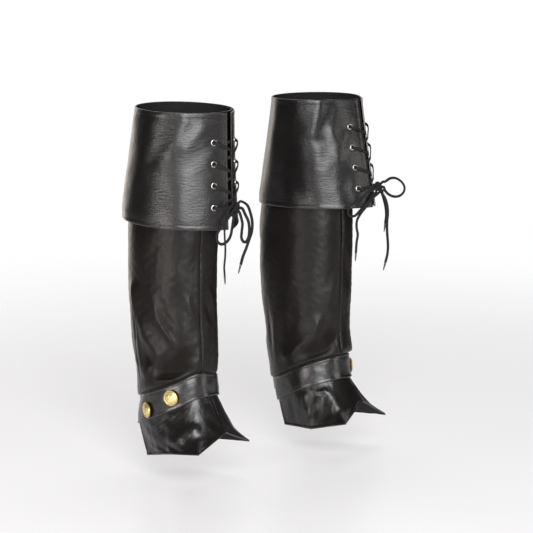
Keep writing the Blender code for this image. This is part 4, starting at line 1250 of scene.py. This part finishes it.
def build_shaft(leg, looks):
    """Front strip and side panels of the leg tube, sewn together on three seams."""
    seams = (-SEAM_ANGLE, SEAM_ANGLE, 180, 360 - SEAM_ANGLE)
    for (word, step), first, last in zip(SHAFT_STEPS.items(), seams, seams[1:]):
        shares = edge_steps(math.radians(last - first) * FOLD_RADIUS, step, near=(0.0004, 0.0010, 0.0018))
        angles = first + PANEL_GAP + (last - first - 2 * PANEL_GAP) * shares
        base, hollow = shaft_grid(leg, angles)
        distances = edge_distances(base)
        seam = np.minimum(distances["first"], distances["last"])
        pucker = waver("shaft_pucker", distances["top"], distances["top"] * 0, 0)
        relief = seam_relief("shaft", seam) + pucker * bell(seam, PUCKER_REACH)
        normals = grid_normals(base, leg["side"])
        outer = base + normals * relief[..., None]
        inner = base - normals * WALL
        # Worn top edge, less the painted shade in the folds
        sheet_piece(leg, word, outer, inner, "shaft_leather", looks, distances,
                    edge_wear(distances, ("top",)) - hollow)


def hem_place(leg, angle):
    """World points of the spat's lower edge at signed angles."""
    hems = (table_at(leg[hem], np.abs(angle), smooth=False) for hem in ("outer_hem", "inner_hem"))
    forward, outward, height = np.where(angle >= 0, *hems) / MM
    return to_world(leg, forward, np.sign(angle) * outward, height)


def spat_grid(leg, angles):
    middle = strap_height(leg, angles)
    rise = strap_edge(leg, angles)
    behind = [to_world(leg, *shaft_place(leg, angles, middle - lerp(SPAT_TUCK, rise, s)))
              for s in np.linspace(0, 1, 8)]
    upper, hem = behind[-1], hem_place(leg, angles)
    length = float(np.linalg.norm(hem - upper, axis=1).mean())
    rows = list(behind)
    shares = edge_steps(length, SPAT_STEPS[0])[1:]
    near = [np.clip(angles + turn, angles[0], angles[-1]) for turn in SOFT_TURNS]
    soft = np.mean([hem_place(leg, turned) for turned in near], 0)
    inside = smooth_step(0, SOFT_ENDS, angles - angles[0]) * smooth_step(0, SOFT_ENDS, angles[-1] - angles)
    soft = lerp(hem, soft, inside[:, None])
    for share in shares:
        line = lerp(upper, lerp(soft, hem, smooth_step(SOFT_UNTIL, 1.0, share)), share)
        line[:, 2] -= SPAT_SAG * 4 * share * (1 - share) * np.cos(np.radians(angles) / 2)
        rows.append(line)
    return np.array(rows)


def build_spat(leg, looks):
    """Outer and inner halves of the instep cover, meeting on the front seam."""
    for word, first, last in (("spat_outer", 0, BACK_END), ("spat_inner", -BACK_END, 0)):
        shares = edge_steps(math.radians(BACK_END) * FOLD_RADIUS, SPAT_STEPS[1])
        low = first + (PANEL_GAP if first == 0 else 0)
        angles = low + (BACK_END - PANEL_GAP) * shares
        base = spat_grid(leg, angles)
        distances = edge_distances(base)
        angle = np.repeat(angles[None, :], len(base), 0)
        drop = distances["top"]
        tuck = fold_push(leg["tucks"], angle, drop)
        tuck += waver("spat_tucks", distances["first"], drop, abs(first))
        tuck *= smooth_step(0.018, 0.030, drop)
        tuck *= smooth_step(0.0, 0.008, distances["first"]) * smooth_step(0.0, 0.008, distances["last"])
        centre_edge, back_edge = ("first", "last") if first == 0 else ("last", "first")
        centre = distances[centre_edge]
        relief = (hem_relief(distances["bottom"], SPAT_STITCH) + hem_relief(distances[back_edge], SPAT_STITCH)
                  + seam_relief("spat", centre)
                  + waver("spat_grain", distances["first"], drop, abs(first)))
        relief *= smooth_step(0.010, 0.018, drop)
        for edge in ("bottom", back_edge):
            relief = relief + edge_round(distances[edge])
        normals = grid_normals(base, leg["side"])
        outer = base + normals * (relief + tuck)[..., None]
        inner = base + normals * (tuck - WALL)[..., None]
        rows = (("bottom", SPAT_STITCH, 0.003, 0.003), (back_edge, SPAT_STITCH, 0.018, 0.004))
        sheet_piece(leg, word, outer, inner, "spat_leather", looks, distances,
                    edge_wear(distances, ("bottom", back_edge)), rows)


def build_strap(leg, looks):
    """Glossy strap round the ankle, stitched along both its edges."""
    shares = edge_steps(STRAP_ROUND, STRAP_STEP)
    angles = -BACK_END + 2 * BACK_END * shares
    middle = strap_height(leg, angles)
    rise = strap_edge(leg, angles)
    lifts = 1 - 2 * edge_steps(STRAP_WIDTH, STRAP_STEP)
    base = np.array([to_world(leg, *shaft_place(leg, angles, middle + lift * rise)) for lift in lifts])
    normals = grid_normals(base, leg["side"])
    distances = edge_distances(base)
    across = 2 * distances["top"] / (distances["top"] + distances["bottom"]) - 1
    crown = 0.0011 * (1 - across ** 2) + 0.0008 * across
    relief = (crown + sum(hem_relief(distances[edge], STRAP_STITCH) for edge in ("top", "bottom"))
              + waver("strap_swell", distances["first"], distances["top"], leg["side"])
              + waver("strap_grain", distances["first"], distances["top"], leg["side"]))
    for edge in distances:
        relief = relief + edge_round(distances[edge], 0.0006)
    outer = base + normals * (STRAP_SEAT + STRAP_WALL + relief)[..., None]
    inner = base + normals * STRAP_SEAT
    rows = [(edge, STRAP_STITCH, 0.003, 0.003) for edge in distances]
    sheet_piece(leg, "strap", outer, inner, "strap_leather", looks, distances,
                edge_wear(distances, distances), rows)


# Metal pieces

def turned_piece(name, profile, sides, spot, out, material, relief=None, loop=False):
    """Turned piece from (radius, height) rows, with relief that may vary round it."""
    turn = np.array(Vector(out).to_track_quat("Z", "Y").to_matrix())
    angles = np.linspace(0, math.tau, sides, endpoint=False)
    points, hollow = [], []
    for radius, height in profile:
        raised = relief(radius, height, angles) if relief else np.zeros(sides)
        ring = np.stack((radius * np.cos(angles), radius * np.sin(angles), height + raised), -1)
        points.append(spot + ring @ turn.T)
        hollow.append(np.clip(0.5 - raised / 0.0005, 0.0, 1.0) if relief else np.zeros(sides))
    faces = [(face[0], *face[:0:-1]) for face in ring_faces(len(profile), sides, closed=loop)]
    return mesh_piece(name, np.concatenate(points), faces, [material], wear_and_shade=np.concatenate(hollow), sharp=60)


def build_eyelets(leg, looks, cuff):
    """Rolled rings, each seated on the cuff where its solid is."""
    angle, share, outer = cuff
    normals = grid_normals(outer, leg["side"])
    depth = cuff_depth(leg)
    half = (EYELET_FLANGE - EYELET_BORE) / 2
    roll = [(EYELET_FLANGE - half + half * math.cos(t), EYELET_SEAT + EYELET_ROLL * math.sin(t))
            for t in np.linspace(0, math.pi, 9)]
    profile = roll + [(EYELET_BORE, EYELET_DEEP), (EYELET_BARREL, EYELET_DEEP),
                      (EYELET_BARREL, EYELET_UNDER), (EYELET_FLANGE + EYELET_UNDER, EYELET_UNDER)]
    for side, word in ((1, "outer"), (-1, "inner")):
        for number, drop in enumerate(EYELET_DROPS, start=1):
            spot = lace_point(leg, side * EYELET_ANGLE, drop, 0.0)
            turn = side * EYELET_ANGLE * leg["spread"] % 360
            row = int(np.argmin(np.abs(share[:, 0] - drop / depth)))
            column = int(np.argmin(np.abs(angle[0] - turn)))
            near = normals[row - 2:row + 3, column - 2:column + 3].reshape(-1, 3).mean(0)
            near /= np.linalg.norm(near)
            node = leg["name"] + "_eyelet_" + word + "_" + str(number)
            ring = turned_piece(node + "_ring", profile, EYELET_SIDES, spot, near, looks["eyelet_metal"],
                                loop=True)
            finish_piece(ring, [node])


def button_relief(radius, height, angles):
    """Generic raised work on a button: a five-leaf rosette inside a roped ring."""
    if height < 0.0030:
        return np.zeros_like(angles)
    leaf = bell(radius - 0.0036, 0.0017) * (0.5 + 0.5 * np.cos(5 * angles)) ** 1.5
    veins = bell(radius - 0.0058, 0.0010) * (0.5 + 0.5 * np.cos(5 * angles + math.pi)) ** 2
    rope = bell(radius - 0.0084, 0.0007) * (0.5 + 0.5 * np.cos(32 * angles + radius * 3000))
    return 0.00062 * leaf + 0.00045 * veins + 0.00050 * rope + 0.00050 * bell(radius, 0.0012)


def build_buttons(leg, looks):
    """Domed gold buttons on the outer end of the strap."""
    radii = np.concatenate((np.linspace(0.0003, BUTTON_DOME[-1][0], 34), [0.0102]))
    profile = [*zip(radii, table_at(BUTTON_DOME, radii)[0]), *BUTTON_EDGE]
    for number, (angle, drop, lean) in enumerate(BUTTON_PLACES[leg["name"]], start=1):
        height = strap_height(leg, float(angle)) - drop
        stand = STRAP_SEAT + STRAP_WALL + 2 * GAP
        spot = to_world(leg, *shaft_place(leg, float(angle), height, stand))
        axis = Vector(to_world(leg, *shaft_place(leg, float(angle), height, stand + 0.01)) - spot)
        axis.rotate(Matrix.Rotation(leg["side"] * math.radians(lean), 3, "Z"))
        node = leg["name"] + "_button_" + str(number)
        piece = turned_piece(node + "_dome", profile[::-1], BUTTON_SIDES, spot, axis,
                             looks["button_gold"], button_relief)
        finish_piece(piece, [node])


# Surroundings

FLOOR_RADIUS = 4.0
FLOOR_SIDES = 64


def build_floor():
    """Pale floor that fades into the background some way off."""
    material, tree = new_material("floor")
    place = add_node(tree, "TexCoord").outputs["Object"]
    away = add_node(tree, "VectorMath", {"operation": "LENGTH"}, i0=place).outputs["Value"]
    fade = add_node(tree, "MapRange", {"interpolation_type": "SMOOTHSTEP"}, Value=away, From_Min=0.3,
                    From_Max=2.0, To_Min=1.0, To_Max=0.0)
    mix = add_node(tree, "MixShader", Fac=fade.outputs[0], i1=add_node(tree, "BsdfTransparent").outputs[0],
                   i2=tree.nodes["Principled BSDF"].outputs[0])
    tree.links.new(mix.outputs[0], tree.nodes["Material Output"].inputs["Surface"])
    finish_material(material, Base_Color=(0.62, 0.61, 0.62, 1), Roughness=0.38,
                    Emission_Color=(1.0, 0.985, 0.99, 1), Emission_Strength=0.385)
    mesh = bpy.data.meshes.new("floor")
    turns = [math.tau * k / FLOOR_SIDES for k in range(FLOOR_SIDES)]
    points = [(FLOOR_RADIUS * math.cos(turn), FLOOR_RADIUS * math.sin(turn), 0.0) for turn in turns]
    mesh.from_pydata(points, [], [tuple(range(FLOOR_SIDES))])
    mesh.materials.append(material)
    floor = bpy.data.objects.new("floor", mesh)
    floor.location = (0.11, -0.08, -HELD_HEIGHT)
    bpy.context.scene.collection.objects.link(floor)


def build_world():
    """White studio: bright behind and to the left of the covers, dim from the camera's side."""
    world = bpy.data.worlds.new("studio")
    bpy.context.scene.world = world
    world.use_nodes = True
    tree = world.node_tree
    way = add_node(tree, "TexCoord").outputs["Generated"]
    bright_side = Vector((0.70, 0.71, 0.10)).normalized()
    facing = add_node(tree, "VectorMath", {"operation": "DOT_PRODUCT"}, i0=way, i1=tuple(bright_side))
    level = add_node(tree, "MapRange", {"interpolation_type": "SMOOTHSTEP"}, Value=facing.outputs["Value"],
                     From_Min=0.72, From_Max=0.97, To_Min=0.03, To_Max=0.85)
    seen = add_node(tree, "LightPath").outputs["Is Camera Ray"]
    shade = tinted(tree, seen, level.outputs[0], (1.0, 1.0, 1.0))
    set_inputs(tree, tree.nodes["Background"], {"Color": shade, "Strength": 1.0})


# Lights: name, where from the covers' middle (right, back, up) in the camera's view,
# width, height, watts, colour
LIGHTS = (
    ("key", (0.26, -2.3, 0.72), 1.3, 2.2, 78.0, (0.985, 0.99, 1.0)),
    ("key_side", (-0.95, -2.3, 0.78), 1.1, 2.0, 7.0, (1.0, 0.98, 0.96)),
    ("low_fill", (-1.15, -1.2, -0.27), 0.8, 0.14, 7.5, (1.0, 0.95, 0.91)),
    ("right_strip", (1.9, -1.2, 0.1), 0.5, 1.2, 7.0, (1.0, 0.99, 0.98)),
    ("left_rim", (-1.2, 1.5, 0.1), 0.5, 1.8, 5.0, (1.0, 0.86, 0.74)),
    ("top", (0.1, 0.6, 2.2), 1.6, 1.6, 18.0, (1.0, 1.0, 1.0)),
)
LIT_MIDDLE = (0.11, -0.09, -0.22)
VIEW_RIGHT = (0.5, -0.8660, 0.0)
VIEW_BACK = (0.8660, 0.5, 0.0)


def build_lights():
    middle, right, back = (Vector(way) for way in (LIT_MIDDLE, VIEW_RIGHT, VIEW_BACK))
    for name, (x, y, z), width, height, watts, colour in LIGHTS:
        data = bpy.data.lights.new(name, "AREA")
        data.shape = "RECTANGLE"
        data.size, data.size_y = width, height
        data.energy = watts
        data.color = colour
        light = bpy.data.objects.new(name, data)
        light.location = middle + right * x + back * y + Vector((0, 0, z))
        light.rotation_mode = "QUATERNION"
        light.rotation_quaternion = (light.location - middle).to_track_quat("Z", "Y")
        bpy.context.scene.collection.objects.link(light)


def main():
    looks = {name: leather(name) for name in LEATHERS}
    looks["leather_back"] = backing()
    looks["lace_cord"] = braid()
    looks["sewing_thread"] = thread()
    looks["lace_tip"] = tip_plastic()
    looks["eyelet_metal"] = metal("eyelet_metal", (0.66, 0.61, 0.53), (0.20, 0.17, 0.14), 0.26, 1.0)
    looks["button_gold"] = metal("button_gold", (0.95, 0.78, 0.36), (0.34, 0.20, 0.05), 0.30, 0.75)
    build_camera()
    bpy.context.scene.view_settings.view_transform = "Standard"
    for leg, cords in ((RIGHT, RIGHT_CORDS), (LEFT, LEFT_CORDS)):
        build_cords(leg, cords, looks)
    for leg in (RIGHT, LEFT):
        build_lacing(leg, looks)
        cuff = build_cuff(leg, looks)
        build_eyelets(leg, looks, cuff)
        build_shaft(leg, looks)
        build_spat(leg, looks)
        build_strap(leg, looks)
        build_buttons(leg, looks)
    build_floor()
    build_world()
    build_lights()


main()
